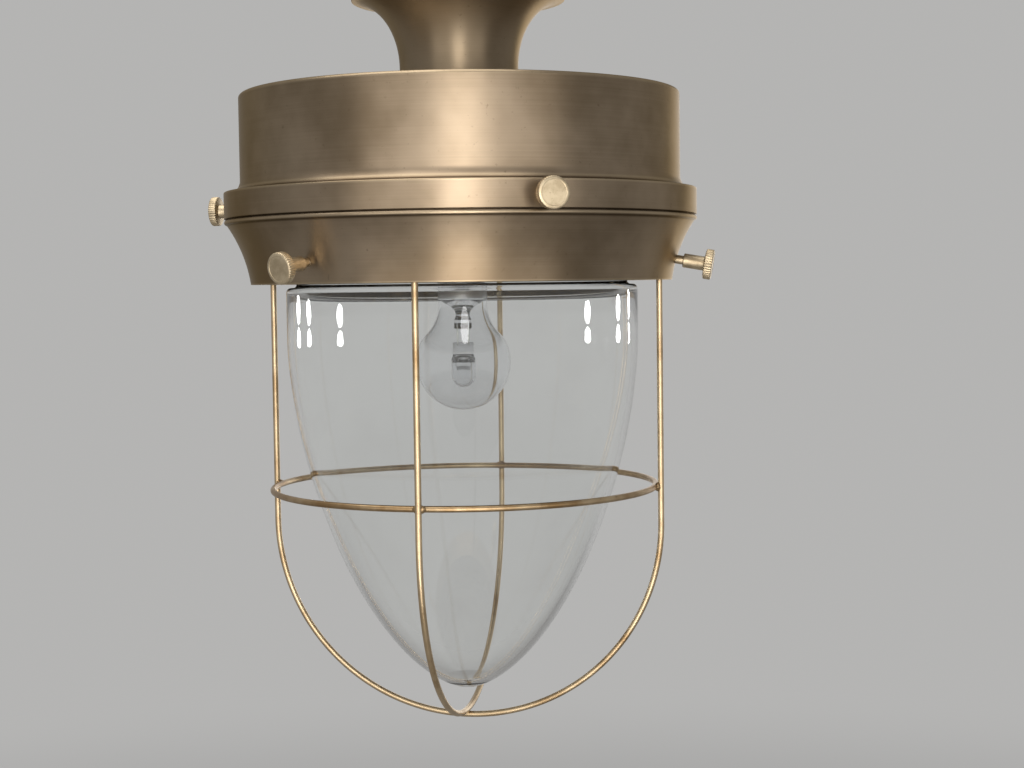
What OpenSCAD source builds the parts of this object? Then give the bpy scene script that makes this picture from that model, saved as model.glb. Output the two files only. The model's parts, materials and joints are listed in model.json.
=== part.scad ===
// Ceiling lantern with a trumpet canopy, a spun drum, a fitter ring, a clear glass shade and a wire cage.
// The origin is the centre of the canopy's rim, on the ceiling. +Z is up, so the fitting hangs below zero.
// Azimuths are measured from the front (-Y) towards +X.

/* [Canopy] */
// Diameter of the rim that lies on the ceiling
canopy_rim_d = 122; // [118:1:140]
// Height of the upright rim
canopy_rim_h = 7.5; // [4:0.5:10]
// Height from the ceiling to the drum
canopy_h = 61; // [56:1:80]
// Diameter of the narrow waist
canopy_waist_d = 68; // [66:1:76]
// Height of the trumpet's curve above the waist
canopy_sweep_h = 38; // [34:1:40]
// Diameter of the foot on the drum
canopy_foot_d = 82; // [78:1:92]
// Height of the flare that leads to the foot
canopy_foot_h = 9; // [6:1:12]
// Thickness of the spun brass
canopy_wall = 1; // [0.8:0.1:1.5]

/* [Drum] */
// Step from the drum's skirt in to its wall
drum_step = 5.8; // [3:0.2:9]
// Height from the fitter ring to the drum's flat top
drum_h = 55; // [45:1:80]
// Radius of the drum's upper edge
drum_edge_r = 2; // [1.5:0.5:5]
// Height of the flare above the fitter ring
drum_flare_h = 7; // [4:0.5:12]
// Depth of the skirt inside the fitter ring
drum_skirt_h = 14; // [11:0.5:14.5]
// Thickness of the spun brass
drum_wall = 1.2; // [1:0.1:1.8]

/* [Fitter ring] */
// Height of the band
band_h = 15; // [14.5:0.5:20]
// Thickness of the band, which the upper screws are threaded into
band_wall = 3.2; // [3:0.1:4]
// Height of the bead below the band
bead_h = 3.4; // [2.8:0.2:5]
// Height of the cove
cove_h = 33.6; // [32:0.2:36]
// Radius of the cove's curve
cove_arc_r = 80; // [74:1:90]
// Lean of the cove at its lower edge, in degrees
cove_lean = 8; // [6:1:10]
// Distance from the circle of the cage wires out to the cove's lower edge
cove_margin = 6.7; // [6:0.1:9]
// Thickness of the cove
cove_wall = 2; // [1.5:0.1:2.4]
// Thickness of the flange that carries the cage
flange_t = 1.6; // [1.2:0.1:2]

/* [Thumbscrews] */
// Diameter of the knurled heads
knob_d = 17; // [14:0.5:20]
// Thickness of the knurled heads
knob_t = 4.7; // [4:0.1:6]
// Grooves around a head
knob_grooves = 40; // [24:2:44]
// Diameter of the collar behind a head
collar_d = 8; // [7:0.5:9]
// Thread diameter
screw_d = 5; // [4:0.5:6]
// Collar length of the upper screws
upper_collar_l = 10.2; // [8:0.2:12]
// Collar length of the lower screws
lower_collar_l = 12; // [8:0.5:14]
// Azimuth of the first upper screw, in degrees
upper_turn = 18; // [0:1:119]
// Azimuth of the first lower screw, in degrees
lower_turn = -41; // [-60:1:-25]
// Drop of the upper screws below the middle of the band
upper_screw_drop = 0.8; // [0:0.1:2]
// Slope of the lower screws, in degrees
lower_slope = 10; // [6:1:14]
// Height of the lower screws above the cove's lower edge, where they enter it
lower_screw_rise = 11.5; // [10:0.5:13]

/* [Glass shade] */
// Outer diameter of the shade
shade_d = 202.2; // [196:0.2:212]
// Height from the shoulder to the tip
shade_h = 234; // [215:1:240]
// Height of the upright part below the shoulder
shade_upright_h = 30; // [20:1:40]
// Drop of the shoulder below the cove's lower edge
shade_drop = 2; // [1:0.5:4]
// Width of the shoulder, from the neck out to the shade's outer face
shoulder_w = 6.1; // [5:0.1:8]
// Height of the neck, from the shoulder to the lip
shade_neck_h = 22; // [20:0.5:26]
// Width of the lip beyond the neck
lip_w = 5; // [3.5:0.1:5.5]
// Thickness of the lip
shade_lip_t = 6; // [4:0.5:8]
// Thickness of the glass
shade_wall = 3.5; // [2.5:0.1:4]
// Thickness of the glass at the tip
shade_tip_wall = 6; // [3:0.5:8]

/* [Cage] */
// Gap between the shade and the cage's upright wires
cage_gap = 11.15; // [10:0.05:14]
// Wire thickness
wire_d = 3.5; // [3:0.1:4]
// Gap between the shade's tip and the nearer hoop
tip_gap = 11; // [9:0.5:20]
// Height of the ring below the cove's lower edge
ring_drop = 117.6; // [100:1:134]
// Azimuth of the front upright, in degrees
cage_turn = -12.4; // [-20:0.2:0]
// Length of wire above the flange
wire_tail = 6; // [5:0.5:9]
// Width across the flats of the nuts on the wire ends
cage_nut_af = 6; // [5.5:0.5:7]
// Height of the nuts on the wire ends
cage_nut_h = 3; // [2:0.5:4]

/* [Lampholder] */
// Height of the lampholder
holder_h = 52; // [50:1:60]
// Outer diameter of the lampholder
holder_d = 40; // [38:1:46]
// Rise of the lampholder's rim above the cove's lower edge
holder_raise = 0; // [-2:0.5:6]
// Wall of the lampholder
holder_wall = 2; // [1.6:0.1:2.4]
// Outer diameter of the threaded tube that carries the lampholder and the drum
stem_d = 10; // [10:0.5:12]
// Bore of the threaded tube
stem_bore_d = 8; // [7.4:0.1:8.4]
// Outer diameter of the insulated leads
lead_d = 1.8; // [1.4:0.1:2]

/* [Bulb] */
// Diameter of the bulb
bulb_d = 55; // [50:1:60]
// Length of the bulb with its cap
bulb_l = 95; // [92:1:105]
// Diameter of the bulb's neck
bulb_neck_d = 28.4; // [27.6:0.2:29]
// Outer diameter of the screw cap
cap_d = 26.4; // [26:0.1:26.6]
// Length of the screw cap with its contact
cap_l = 27; // [26:0.5:28]
// Height of the smooth collar of the cap
cap_collar_h = 5.5; // [4:0.5:6]
// Wall of the bulb's glass
bulb_wall = 0.8; // [0.6:0.1:1]

/* [Ceiling bracket] */
// Length of the bracket
bracket_l = 94; // [90:1:100]
// Width of the strip
bracket_w = 18; // [16:1:20]
// Thickness of the strip
bracket_t = 2; // [1.5:0.1:2.5]
// Distance between the fixing slots
slot_spacing = 70; // [64:1:74]
// Width of a fixing slot
slot_w = 5.2; // [4.2:0.2:6]
// End-to-end length of a fixing slot
slot_l = 14; // [10:1:16]
// Length of the dropped middle of the bracket
bridge_l = 44; // [40:1:46]
// Drop of the middle below the ceiling
bridge_drop = 16; // [15:0.5:18]

/* [Clearances] */
// Gap between pieces that are seated on each other
seat = 0.05; // [0.02:0.01:0.1]
// Radial gap between the drum's skirt and the band
skirt_gap = 0.3; // [0.2:0.05:0.6]
// Radial gap in threads and on pins
thread_gap = 0.05; // [0.03:0.01:0.1]

/* [Hidden] */
$fn = 96;

brass = "#9c8566";
bright_brass = "#b9a077";
steel = "#b4b6b8";
phenolic = "#2b2622";
white_plastic = "#e8e6e0";

// How far a cutter reaches past what it cuts
past = 1;
// The turn between three like pieces
third = 120;

// Levels, from the ceiling down
drum_top = -canopy_h;
band_top = drum_top - drum_h;
band_bottom = band_top - band_h;
cove_top = band_bottom - bead_h;
cove_bottom = cove_top - cove_h;

// Radii, from the glass outwards to the drum
shade_r = shade_d / 2;
wire_r = wire_d / 2;
cage_r = shade_r + cage_gap + wire_r;
cove_low = cove_lean;
cove_high = asin(sin(cove_low) + cove_h / cove_arc_r);
cove_bottom_r = cage_r + cove_margin;
cove_top_r = cove_bottom_r + cove_arc_r * (cos(cove_low) - cos(cove_high));
bead_groove = 0.3;
bead_r = bead_h / 2 - bead_groove;
band_r = cove_top_r + bead_r;
skirt_r = band_r - band_wall - skirt_gap;
drum_r = skirt_r - drum_step;

function left_normal(p, q) = let (d = q - p) [-d[1], d[0]] / norm(d);
// Point i of a path, moved to the left by t and mitred where the path turns
function shifted(path, i, t) =
    let (
        last = len(path) - 1,
        before = left_normal(path[max(i - 1, 0)], path[max(i, 1)]),
        after = left_normal(path[min(i, last - 1)], path[min(i + 1, last)]),
        middle = before + after
    )
    path[i] + t * 2 * middle / (middle * middle);
function beside(path, t) = [for (i = [0:len(path) - 1]) shifted(path, i, t)];
function reversed(list) = [for (i = [len(list) - 1:-1:0]) list[i]];
// An arc of an ellipse about a centre, from one angle to another
function arc(centre, rx, rz, from, to, steps) =
    [for (i = [0:steps]) let (a = from + (to - from) * i / steps) centre + [rx * cos(a), rz * sin(a)]];

// A spun sheet: the path is its outer face from the top down, and the wall lies inside it
module spun(path, wall) {
    rotate_extrude()
        polygon(concat(path, reversed(beside(path, -wall))));
}

module at_azimuth(azimuth, radius) {
    rotate([0, 0, azimuth])
        translate([0, -radius, 0])
            children();
}

module hex_nut(af, height, bore_d) {
    difference() {
        cylinder(d = af / cos(30), h = height, $fn = 6);
        translate([0, 0, -past])
            cylinder(d = bore_d, h = height + 2 * past);
    }
}

// Canopy
rim_r = canopy_rim_d / 2;
waist_r = canopy_waist_d / 2;
foot_r = canopy_foot_d / 2;
waist_top = -canopy_rim_h - canopy_sweep_h;
foot_top = drum_top + canopy_wall + canopy_foot_h;
// The sweep leaves the rim just short of level
sweep_angle = 86;
canopy_path = concat(
    [[rim_r, 0], [rim_r, -canopy_rim_h]],
    reversed(arc([rim_r, waist_top], -(rim_r - waist_r), canopy_sweep_h, 0, sweep_angle, 18)),
    arc([foot_r, foot_top], -(foot_r - waist_r), -canopy_foot_h, 0, 90, 8)
);

module canopy() {
    color(brass)
        spun(canopy_path, canopy_wall);
}

// Ceiling bracket
foot_l = (bracket_l - bridge_l) / 2;
ear_l = 17;
ear_w = 22;
ear_overlap = 1;
block_l = 20;
block_w = 14;
block_h = 11;
block_gap = 2;
block_y = bracket_w / 2 + block_gap + block_w / 2;
block_top = -bridge_drop - seat;
pole_pitch = 9;
earth_x = 14;
m3_d = 3;
m3_head_d = 6;
m3_head_h = 2;
m3_end = 2;
bracket_nut_h = 3;
stem_nut_af = 14;

module bracket_strip() {
    for (side = [-1, 1]) {
        translate([side * (bridge_l / 2 + foot_l / 2 - bracket_t / 2), 0, -bracket_t / 2])
            cube([foot_l + bracket_t, bracket_w, bracket_t], center = true);
        translate([side * (bridge_l / 2 - bracket_t / 2), 0, -bridge_drop / 2])
            cube([bracket_t, bracket_w, bridge_drop], center = true);
    }
    translate([0, 0, -bridge_drop + bracket_t / 2])
        cube([bridge_l, bracket_w, bracket_t], center = true);
    translate([-ear_w / 2, bracket_w / 2 - ear_overlap, -bridge_drop])
        cube([ear_w, ear_l, bracket_t]);
}

module slot_hole() {
    for (end = [-1, 1])
        translate([end * (slot_l - slot_w) / 2, 0, -bracket_t - past])
            cylinder(d = slot_w, h = bracket_t + 2 * past);
    translate([0, 0, -bracket_t / 2])
        cube([slot_l - slot_w, slot_w, bracket_t + 2 * past], center = true);
}

module ceiling_bracket() {
    color(steel)
        difference() {
            bracket_strip();
            for (side = [-1, 1])
                translate([side * slot_spacing / 2, 0, 0])
                    slot_hole();
            bracket_hole(0, 0, stem_d);
            bracket_hole(earth_x, 0, m3_d);
            bracket_hole(0, block_y, m3_d);
        }
}

module bracket_hole(x, y, thread_d) {
    translate([x, y, -bridge_drop - past])
        cylinder(d = thread_d + 2 * thread_gap, h = bracket_t + 2 * past);
}

// Shares of a pan head: its flat crown, and the slot's width and depth
crown_share = 0.8;
slot_w_share = 0.14;
slot_h_share = 0.4;

// A pan-head screw that points up from its seat at z = 0, with a slot across its head
module pan_screw(length) {
    difference() {
        union() {
            cylinder(d = m3_d, h = length);
            translate([0, 0, -m3_head_h])
                cylinder(d1 = m3_head_d * crown_share, d2 = m3_head_d, h = m3_head_h);
        }
        translate([0, 0, -m3_head_h])
            cube([m3_head_d + past, m3_head_d * slot_w_share, 2 * m3_head_h * slot_h_share], center = true);
    }
}

module earth_screw() {
    color(bright_brass)
        translate([earth_x, 0, -bridge_drop - seat])
            pan_screw(bracket_t + m3_end);
}

module bracket_nut() {
    color(steel)
        translate([0, 0, -bridge_drop - bracket_nut_h - seat])
            hex_nut(stem_nut_af, bracket_nut_h, stem_d + 2 * thread_gap);
}

// Terminal block under the bracket's ear
clamp_z = block_top - block_h / 2;
clamp_d = 4;
clamp_bore_d = 2.4;
clamp_inset = 2;
clamp_screw_y = 2.8;
terminal_screw_d = 2.6;
screw_recess = 0.4;
// Width and depth of the slot in the smallest screws
fine_slot = 0.6;

module pole_places() {
    for (side = [-1, 1])
        translate([side * pole_pitch / 2, block_y, clamp_z])
            children();
}

module terminal_block() {
    color(white_plastic)
        difference() {
            translate([-block_l / 2, block_y - block_w / 2, block_top - block_h])
                cube([block_l, block_w, block_h]);
            pole_places()
                rotate([90, 0, 0])
                    cylinder(d = clamp_d + 2 * seat, h = block_w + 2 * past, center = true);
            pole_places()
                for (side = [-1, 1])
                    translate([0, side * clamp_screw_y, -block_h])
                        cylinder(d = terminal_screw_d + 2 * seat, h = block_h);
            translate([0, block_y, block_top - block_h - past])
                cylinder(d = m3_d + 2 * thread_gap, h = block_h + 2 * past);
        }
}

module terminal_clamps() {
    color(bright_brass)
        pole_places()
            rotate([90, 0, 0])
                difference() {
                    cylinder(d = clamp_d, h = block_w - 2 * clamp_inset, center = true);
                    cylinder(d = clamp_bore_d, h = block_w, center = true);
                }
}

module terminal_screws() {
    color(steel)
        pole_places()
            for (side = [-1, 1])
                translate([0, side * clamp_screw_y, -block_h / 2 + screw_recess])
                    difference() {
                        cylinder(d = terminal_screw_d, h = block_h / 2 - clamp_d / 2 - screw_recess - seat);
                        cube([terminal_screw_d + past, fine_slot, 2 * fine_slot], center = true);
                    }
}

module block_screw() {
    color(steel)
        translate([0, block_y, block_top - block_h - seat])
            pan_screw(block_h + bracket_t + m3_end);
}

// Threaded tube from the bracket to the lampholder
holder_rim = cove_bottom + holder_raise;
holder_top = holder_rim + holder_h;
stem_rise = 5;
stem_top = -bridge_drop + bracket_t + stem_rise;
hub_h = 10;
stem_bottom = holder_top - hub_h;

module stem_tube() {
    color(steel)
        translate([0, 0, stem_bottom])
            difference() {
                cylinder(d = stem_d, h = stem_top - stem_bottom);
                translate([0, 0, -past])
                    cylinder(d = stem_bore_d, h = stem_top - stem_bottom + 2 * past);
            }
}

// Drum, with the skirt that the fitter ring slides over
stem_hole_gap = 0.3;
stem_hole_r = stem_d / 2 + stem_hole_gap;
// The flare ends just short of level, and a small corner turns it down into the skirt
flare_angle = 78;
skirt_corner = 0.3;
drum_path = concat(
    [[stem_hole_r, drum_top]],
    arc([drum_r - drum_edge_r, drum_top - drum_edge_r], drum_edge_r, drum_edge_r, 90, 0, 6),
    arc([skirt_r, band_top + drum_flare_h], -(skirt_r - drum_r), -drum_flare_h, 0, flare_angle, 8),
    [[skirt_r, band_top - skirt_corner], [skirt_r, band_top - drum_skirt_h]]
);
washer_r = 16;
washer_t = 1.5;
drum_nut_h = 4;

module drum() {
    color(brass)
        spun(drum_path, drum_wall);
}

module drum_washer() {
    color(steel)
        translate([0, 0, drum_top - drum_wall - seat - washer_t])
            difference() {
                cylinder(r = washer_r, h = washer_t);
                translate([0, 0, -past])
                    cylinder(r = stem_hole_r, h = washer_t + 2 * past);
            }
}

module drum_nut() {
    color(steel)
        translate([0, 0, drum_top - drum_wall - washer_t - 2 * seat - drum_nut_h])
            hex_nut(stem_nut_af, drum_nut_h, stem_d + 2 * thread_gap);
}

// Fitter ring: band, bead, cove and the flange that carries the cage
bead_z = band_bottom - bead_h / 2 - bead_groove;
cove_centre = [cove_bottom_r + cove_arc_r * cos(cove_low), cove_bottom - cove_arc_r * sin(cove_low)];
flange_lip = 2;
flange_r = cage_r - cage_nut_af / 2 - flange_lip;
flange_top = cove_bottom + flange_t;
band_bevel = 0.4;
bead_turn = 80;
cove_back_low = asin((flange_top - cove_centre[1]) / (cove_arc_r + cove_wall));
function cove_face(offset, low) =
    arc(cove_centre, -(cove_arc_r + offset), cove_arc_r + offset, cove_high, low, 12);
ring_outline = concat(
    [[band_r - band_bevel, band_top], [band_r, band_top - band_bevel], [band_r, band_bottom]],
    [[band_r - bead_r, band_bottom - bead_groove]],
    arc([band_r - bead_r, bead_z], bead_r, bead_r, bead_turn, -bead_turn, 8),
    cove_face(0, cove_low),
    [[flange_r, cove_bottom], [flange_r, flange_top]],
    reversed(cove_face(cove_wall, cove_back_low)),
    [[band_r - band_wall, band_bottom - bead_h / 2], [band_r - band_wall, band_top]]
);

module cage_wire_places() {
    for (i = [0:3])
        at_azimuth(cage_turn + 90 * i, cage_r)
            children();
}

module fitter_ring() {
    color(brass)
        difference() {
            rotate_extrude()
                polygon(ring_outline);
            for (i = [0:2]) {
                upper_screw_axis(i)
                    cylinder(d = screw_d + 2 * thread_gap, h = 2 * (band_wall + past), center = true);
                lower_screw_axis(i)
                    cylinder(d = screw_d + 2 * thread_gap, h = 2 * (cove_wall + bush_l), center = true);
            }
            cage_wire_places()
                translate([0, 0, cove_bottom - past])
                    cylinder(d = wire_d + 2 * seat, h = flange_t + 2 * past);
        }
}

// Thumbscrews. An axis module puts z = 0 on the ring's outer face and z outwards
upper_screw_z = (band_top + band_bottom) / 2 - upper_screw_drop;
lower_screw_z = cove_bottom + lower_screw_rise;
lower_entry_r = cove_centre[0] - sqrt(pow(cove_arc_r, 2) - pow(lower_screw_z - cove_centre[1], 2));

module upper_screw_axis(i) {
    at_azimuth(upper_turn + third * i, band_r)
        translate([0, 0, upper_screw_z])
            rotate([90, 0, 0])
                children();
}

module lower_screw_axis(i) {
    at_azimuth(lower_turn + third * i, lower_entry_r)
        translate([0, 0, lower_screw_z])
            rotate([90 + lower_slope, 0, 0])
                children();
}

tip_bevel = 1;
tip_r = screw_d / 2 - tip_bevel;
knob_bevel = 0.6;
// Depth of the knurl's grooves, and the plain land inside them that the bevels start from
knurl_depth = 0.35;
knob_land = 0.1;
knob_shoulder_r = knob_d / 2 - knurl_depth - knob_land;
knob_face_r = knob_shoulder_r - knob_bevel;
neck_r = shade_r - shoulder_w;
upper_reach = band_wall + skirt_gap - seat;
lower_reach = (lower_entry_r - neck_r - tip_r * sin(lower_slope)) / cos(lower_slope) - seat;
upper_stand = 0.4;
lower_stand = 4.4;

// The knurled rim of a head
module knurl(diameter, thickness, grooves, depth) {
    r = diameter / 2;
    linear_extrude(thickness)
        polygon([for (i = [0:2 * grooves - 1])
            let (a = 180 * i / grooves, rr = i % 2 == 0 ? r : r - depth) [rr * cos(a), rr * sin(a)]]);
}

// reach: thread inside the ring's outer face; stand: bare thread outside it
module thumbscrew(reach, stand, collar_l) {
    head_z = stand + collar_l;
    translate([0, 0, -reach])
        cylinder(r1 = tip_r, r2 = screw_d / 2, h = tip_bevel);
    translate([0, 0, tip_bevel - reach])
        cylinder(d = screw_d, h = reach - tip_bevel + stand);
    translate([0, 0, stand])
        cylinder(d = collar_d, h = collar_l);
    translate([0, 0, head_z]) {
        cylinder(r1 = knob_face_r, r2 = knob_shoulder_r, h = knob_bevel);
        translate([0, 0, knob_bevel])
            knurl(knob_d, knob_t - 2 * knob_bevel, knob_grooves, knurl_depth);
        translate([0, 0, knob_t - knob_bevel])
            cylinder(r1 = knob_shoulder_r, r2 = knob_face_r, h = knob_bevel);
    }
}

module upper_screw(i) {
    color(bright_brass)
        upper_screw_axis(i)
            thumbscrew(upper_reach, upper_stand, upper_collar_l);
}

module lower_screw(i) {
    color(bright_brass)
        lower_screw_axis(i)
            thumbscrew(lower_reach, lower_stand, lower_collar_l);
}

// Threaded bushes behind the cove for the lower screws
bush_d = 10;
bush_l = 6;
bush_inset = 0.5;

module lower_bushes() {
    color(bright_brass)
        difference() {
            for (i = [0:2])
                lower_screw_axis(i)
                    translate([0, 0, -cove_wall - bush_l])
                        cylinder(d = bush_d, h = bush_l + cove_wall - bush_inset);
            for (i = [0:2])
                lower_screw_axis(i)
                    translate([0, 0, -cove_wall - bush_l - past])
                        cylinder(d = screw_d + 2 * thread_gap, h = bush_l + cove_wall + 2 * past);
            rotate_extrude()
                polygon(concat(
                    cove_face(cove_wall + seat, cove_low),
                    [[band_r, cove_bottom], [band_r, cove_top]]
                ));
        }
}

// Glass shade
lip_r = neck_r + lip_w;
shoulder = cove_bottom - shade_drop;
shade_tip = shoulder - shade_h;
taper_top = shoulder - shade_upright_h;
taper_h = taper_top - shade_tip;
taper_power = 1.68;
nose_power = 1.72;
lip_under = shoulder + shade_neck_h;
lip_top = lip_under + shade_lip_t;
shoulder_r = 3;
fillet_r = 2;
lip_bevel = 1;
// The lip's underside turns in by this angle and meets the neck a little lower
lip_turn = 60;
lip_slope = 0.6;
neck_turn = 200;
taper_steps = 26;
// The taper is a superellipse, which is blunter than a cone and slimmer than an ellipse
taper_path = [for (i = [0:taper_steps])
    let (
        a = 90 * i / taper_steps,
        r = i == taper_steps ? 0 : shade_r * pow(cos(a), 2 / nose_power)
    )
    [r, taper_top - taper_h * pow(sin(a), 2 / taper_power)]];
inner_r = shade_r - shade_wall;
inner_neck_r = neck_r - shade_wall;
shade_outer = concat(
    [[inner_neck_r + lip_bevel, lip_top]],
    arc([lip_r - fillet_r, lip_top - fillet_r], fillet_r, fillet_r, 90, 0, 4),
    arc([lip_r - fillet_r, lip_under + fillet_r], fillet_r, fillet_r, 0, -lip_turn, 3),
    [[neck_r, lip_under - lip_slope], [neck_r, shoulder + fillet_r]],
    arc([neck_r + fillet_r, shoulder + fillet_r], fillet_r, fillet_r, neck_turn, 270, 4),
    arc([shade_r - shoulder_r, shoulder - shoulder_r], shoulder_r, shoulder_r, 90, 0, 6),
    taper_path
);
inner_taper = [for (i = [0:taper_steps - 1]) shifted(taper_path, i, -shade_wall)];
// Inside, the wall swells from the neck to the shade in a smooth S that starts above the shoulder
swell_rise = 1;
swell_h = 9;
swell_steps = 8;
inner_shoulder = [for (i = [0:swell_steps])
    let (share = (1 - cos(180 * i / swell_steps)) / 2)
        [inner_neck_r + (inner_r - inner_neck_r) * share, shoulder + swell_rise - swell_h * i / swell_steps]];
// The inner taper ends where the thicker glass of the tip begins
nose_r = 4;
nose_step = 0.4;
inner_tip = shade_tip + shade_tip_wall;
shade_outline = concat(
    shade_outer,
    [[0, inner_tip]],
    reversed([for (p = inner_taper) if (p[0] > nose_r && p[1] > inner_tip + nose_step) p]),
    reversed(inner_shoulder),
    [[inner_neck_r, lip_top - lip_bevel]]
);

module glass_shade() {
    color("lightblue", 0.35)
        rotate_extrude()
            polygon(shade_outline);
}

// Cage of two hoops and a ring
hoop_low = shade_tip - tip_gap - wire_r - wire_d - seat;
side_hoop_z = hoop_low + cage_r;
front_hoop_z = side_hoop_z + wire_d + seat;
wire_top = flange_top + wire_tail;
ring_z = cove_bottom - ring_drop;
ring_r = cage_r - wire_d - seat;

module hoop(bend_z) {
    for (side = [-1, 1])
        translate([side * cage_r, 0, bend_z])
            cylinder(r = wire_r, h = wire_top - bend_z);
    translate([0, 0, bend_z])
        rotate([90, 0, 0])
            rotate([0, 0, 180])
                rotate_extrude(angle = 180)
                    translate([cage_r, 0])
                        circle(r = wire_r, $fn = 48);
}

module cage_hoop_front() {
    color(bright_brass)
        rotate([0, 0, cage_turn + 90])
            hoop(front_hoop_z);
}

module cage_hoop_side() {
    color(bright_brass)
        rotate([0, 0, cage_turn])
            hoop(side_hoop_z);
}

module cage_ring() {
    color(brass)
        translate([0, 0, ring_z])
            rotate_extrude()
                translate([ring_r, 0])
                    circle(r = wire_r, $fn = 48);
}

module cage_nuts() {
    color(bright_brass)
        cage_wire_places()
            translate([0, 0, flange_top + seat])
                hex_nut(cage_nut_af, cage_nut_h, wire_d + 2 * thread_gap);
}

// Lampholder
holder_r = holder_d / 2;
hub_wall = 3;
hub_r = stem_d / 2 + hub_wall;
hub_shown_h = 9;
dome_h = 18;
cap_rim_h = 3;
dome_rise = dome_h - hub_shown_h - cap_rim_h;
// The dome starts beside the hub, just short of level
dome_angle = 80;
joint_z = holder_top - dome_h;
insert_drop = 1;
insert_top = joint_z - insert_drop;
insert_h = 8;
insert_bottom = insert_top - insert_h;
insert_gap = 0.6;
insert_r = holder_r - holder_wall - insert_gap;
shell_gap = 0.2;
shell_r = cap_d / 2 + shell_gap;
shell_wall = 0.6;
skirt_bore_r = shell_r + shell_wall + seat;
dome_path = concat(
    [[hub_r, holder_top], [hub_r, holder_top - hub_shown_h]],
    arc([hub_r, joint_z + cap_rim_h], holder_r - hub_r, dome_rise, dome_angle, 0, 8),
    [[holder_r, joint_z + seat]]
);
dome_inner = beside([for (i = [2:len(dome_path) - 1]) dome_path[i]], -holder_wall);

module holder_cap() {
    color(phenolic)
        difference() {
            rotate_extrude()
                polygon(concat(
                    [[stem_d / 2 + thread_gap, holder_top]],
                    dome_path,
                    reversed(dome_inner),
                    [[stem_d / 2 + thread_gap, dome_inner[0][1]]]
                ));
            grub_axis()
                cylinder(d = m3_d + 2 * thread_gap, h = 2 * hub_r);
        }
}

grub_turn = 30;
grub_l = 3.2;

module grub_axis() {
    translate([0, 0, holder_top - hub_shown_h / 2])
        rotate([90, 0, grub_turn])
            children();
}

module holder_grub_screw() {
    color(steel)
        grub_axis()
            translate([0, 0, stem_d / 2 + seat])
                difference() {
                    cylinder(d = m3_d, h = grub_l);
                    translate([0, 0, grub_l])
                        cube([m3_d + past, fine_slot, 2 * fine_slot], center = true);
                }
}

terminal_x = 8;
insert_floor = 2;
post_d = 4;
post_rise = 0.5;
post_h = insert_h - insert_floor + post_rise;
wire_hole_h = 1.5;

module holder_insert() {
    color(white_plastic)
        translate([0, 0, insert_bottom])
            difference() {
                cylinder(r = insert_r, h = insert_h);
                for (side = [-1, 1])
                    translate([side * terminal_x, 0, insert_floor])
                        cylinder(d = post_d + 2 * seat, h = insert_h);
                translate([0, 0, -past])
                    cylinder(d = m3_d + 2 * seat, h = insert_floor + past);
            }
}

module holder_terminals() {
    color(bright_brass)
        for (side = [-1, 1])
            translate([side * terminal_x, 0, insert_bottom + insert_floor + seat])
                difference() {
                    cylinder(d = post_d, h = post_h);
                    translate([0, 0, post_h - wire_hole_h])
                        cylinder(d = lead_d + 2 * lead_gap, h = wire_hole_h + past);
                }
}

// Centre contact: a riveted disc with a button that the bulb presses on
contact_r = 6;
contact_t = 0.4;
rivet_l = 2;
button_r = 3;
contact_drop = 3.5;
contact_top = insert_bottom - contact_drop;
contact_z = insert_bottom - contact_t - seat;

module centre_contact() {
    color(bright_brass) {
        translate([0, 0, contact_z])
            cylinder(r = contact_r, h = contact_t);
        translate([0, 0, contact_z])
            cylinder(d = m3_d, h = rivet_l);
        translate([0, 0, contact_top + seat])
            cylinder(r = button_r, h = contact_z - contact_top - seat);
    }
}

rim_bevel = 1;
shell_h = insert_bottom - holder_rim - rim_bevel - seat;

module thread_shell() {
    color(bright_brass)
        translate([0, 0, holder_rim + rim_bevel])
            difference() {
                cylinder(r = shell_r + shell_wall, h = shell_h);
                translate([0, 0, -past])
                    cylinder(r = shell_r, h = shell_h + 2 * past);
            }
}

module holder_skirt() {
    color(phenolic)
        rotate_extrude()
            polygon([
                [holder_r, joint_z], [holder_r, holder_rim + rim_bevel],
                [holder_r - rim_bevel, holder_rim],
                [skirt_bore_r, holder_rim], [skirt_bore_r, insert_bottom - seat],
                [insert_r + seat, insert_bottom - seat], [insert_r + seat, joint_z]
            ]);
}

// Leads. A lead is a tube swept along its points, with its rings square to the route
lead_gap = 0.15;
lead_x = lead_d / 2 + lead_gap;
function unit(v) = v / norm(v);
function blended(points, i, s) =
    let (
        n = len(points) - 1,
        a = points[max(i - 1, 0)],
        b = points[i],
        c = points[min(i + 1, n)],
        d = points[min(i + 2, n)]
    )
    0.5 * ((2 * b) + (c - a) * s + (2 * a - 5 * b + 4 * c - d) * s * s + (3 * b - a - 3 * c + d) * s * s * s);
function smooth_route(points, steps) = concat(
    [for (i = [0:len(points) - 2]) for (k = [0:steps - 1]) blended(points, i, k / steps)],
    [points[len(points) - 1]]
);
function run_of(route, i) = unit(route[min(i + 1, len(route) - 1)] - route[max(i - 1, 0)]);

// side is a direction that the route never runs along
module tube(route, radius, sides, side) {
    rings = len(route);
    points = [for (i = [0:rings - 1])
        let (t = run_of(route, i), u = unit(cross(t, side)), v = cross(t, u))
            for (k = [0:sides - 1])
                let (a = 360 * k / sides) route[i] + radius * (cos(a) * u + sin(a) * v)];
    walls = [for (i = [0:rings - 2]) for (k = [0:sides - 1])
        let (a = i * sides + k, b = i * sides + (k + 1) % sides)
            [a, a + sides, b + sides, b]];
    ends = [[for (k = [0:sides - 1]) k], [for (k = [sides - 1:-1:0]) (rings - 1) * sides + k]];
    polyhedron(points, concat(walls, ends));
}

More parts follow.
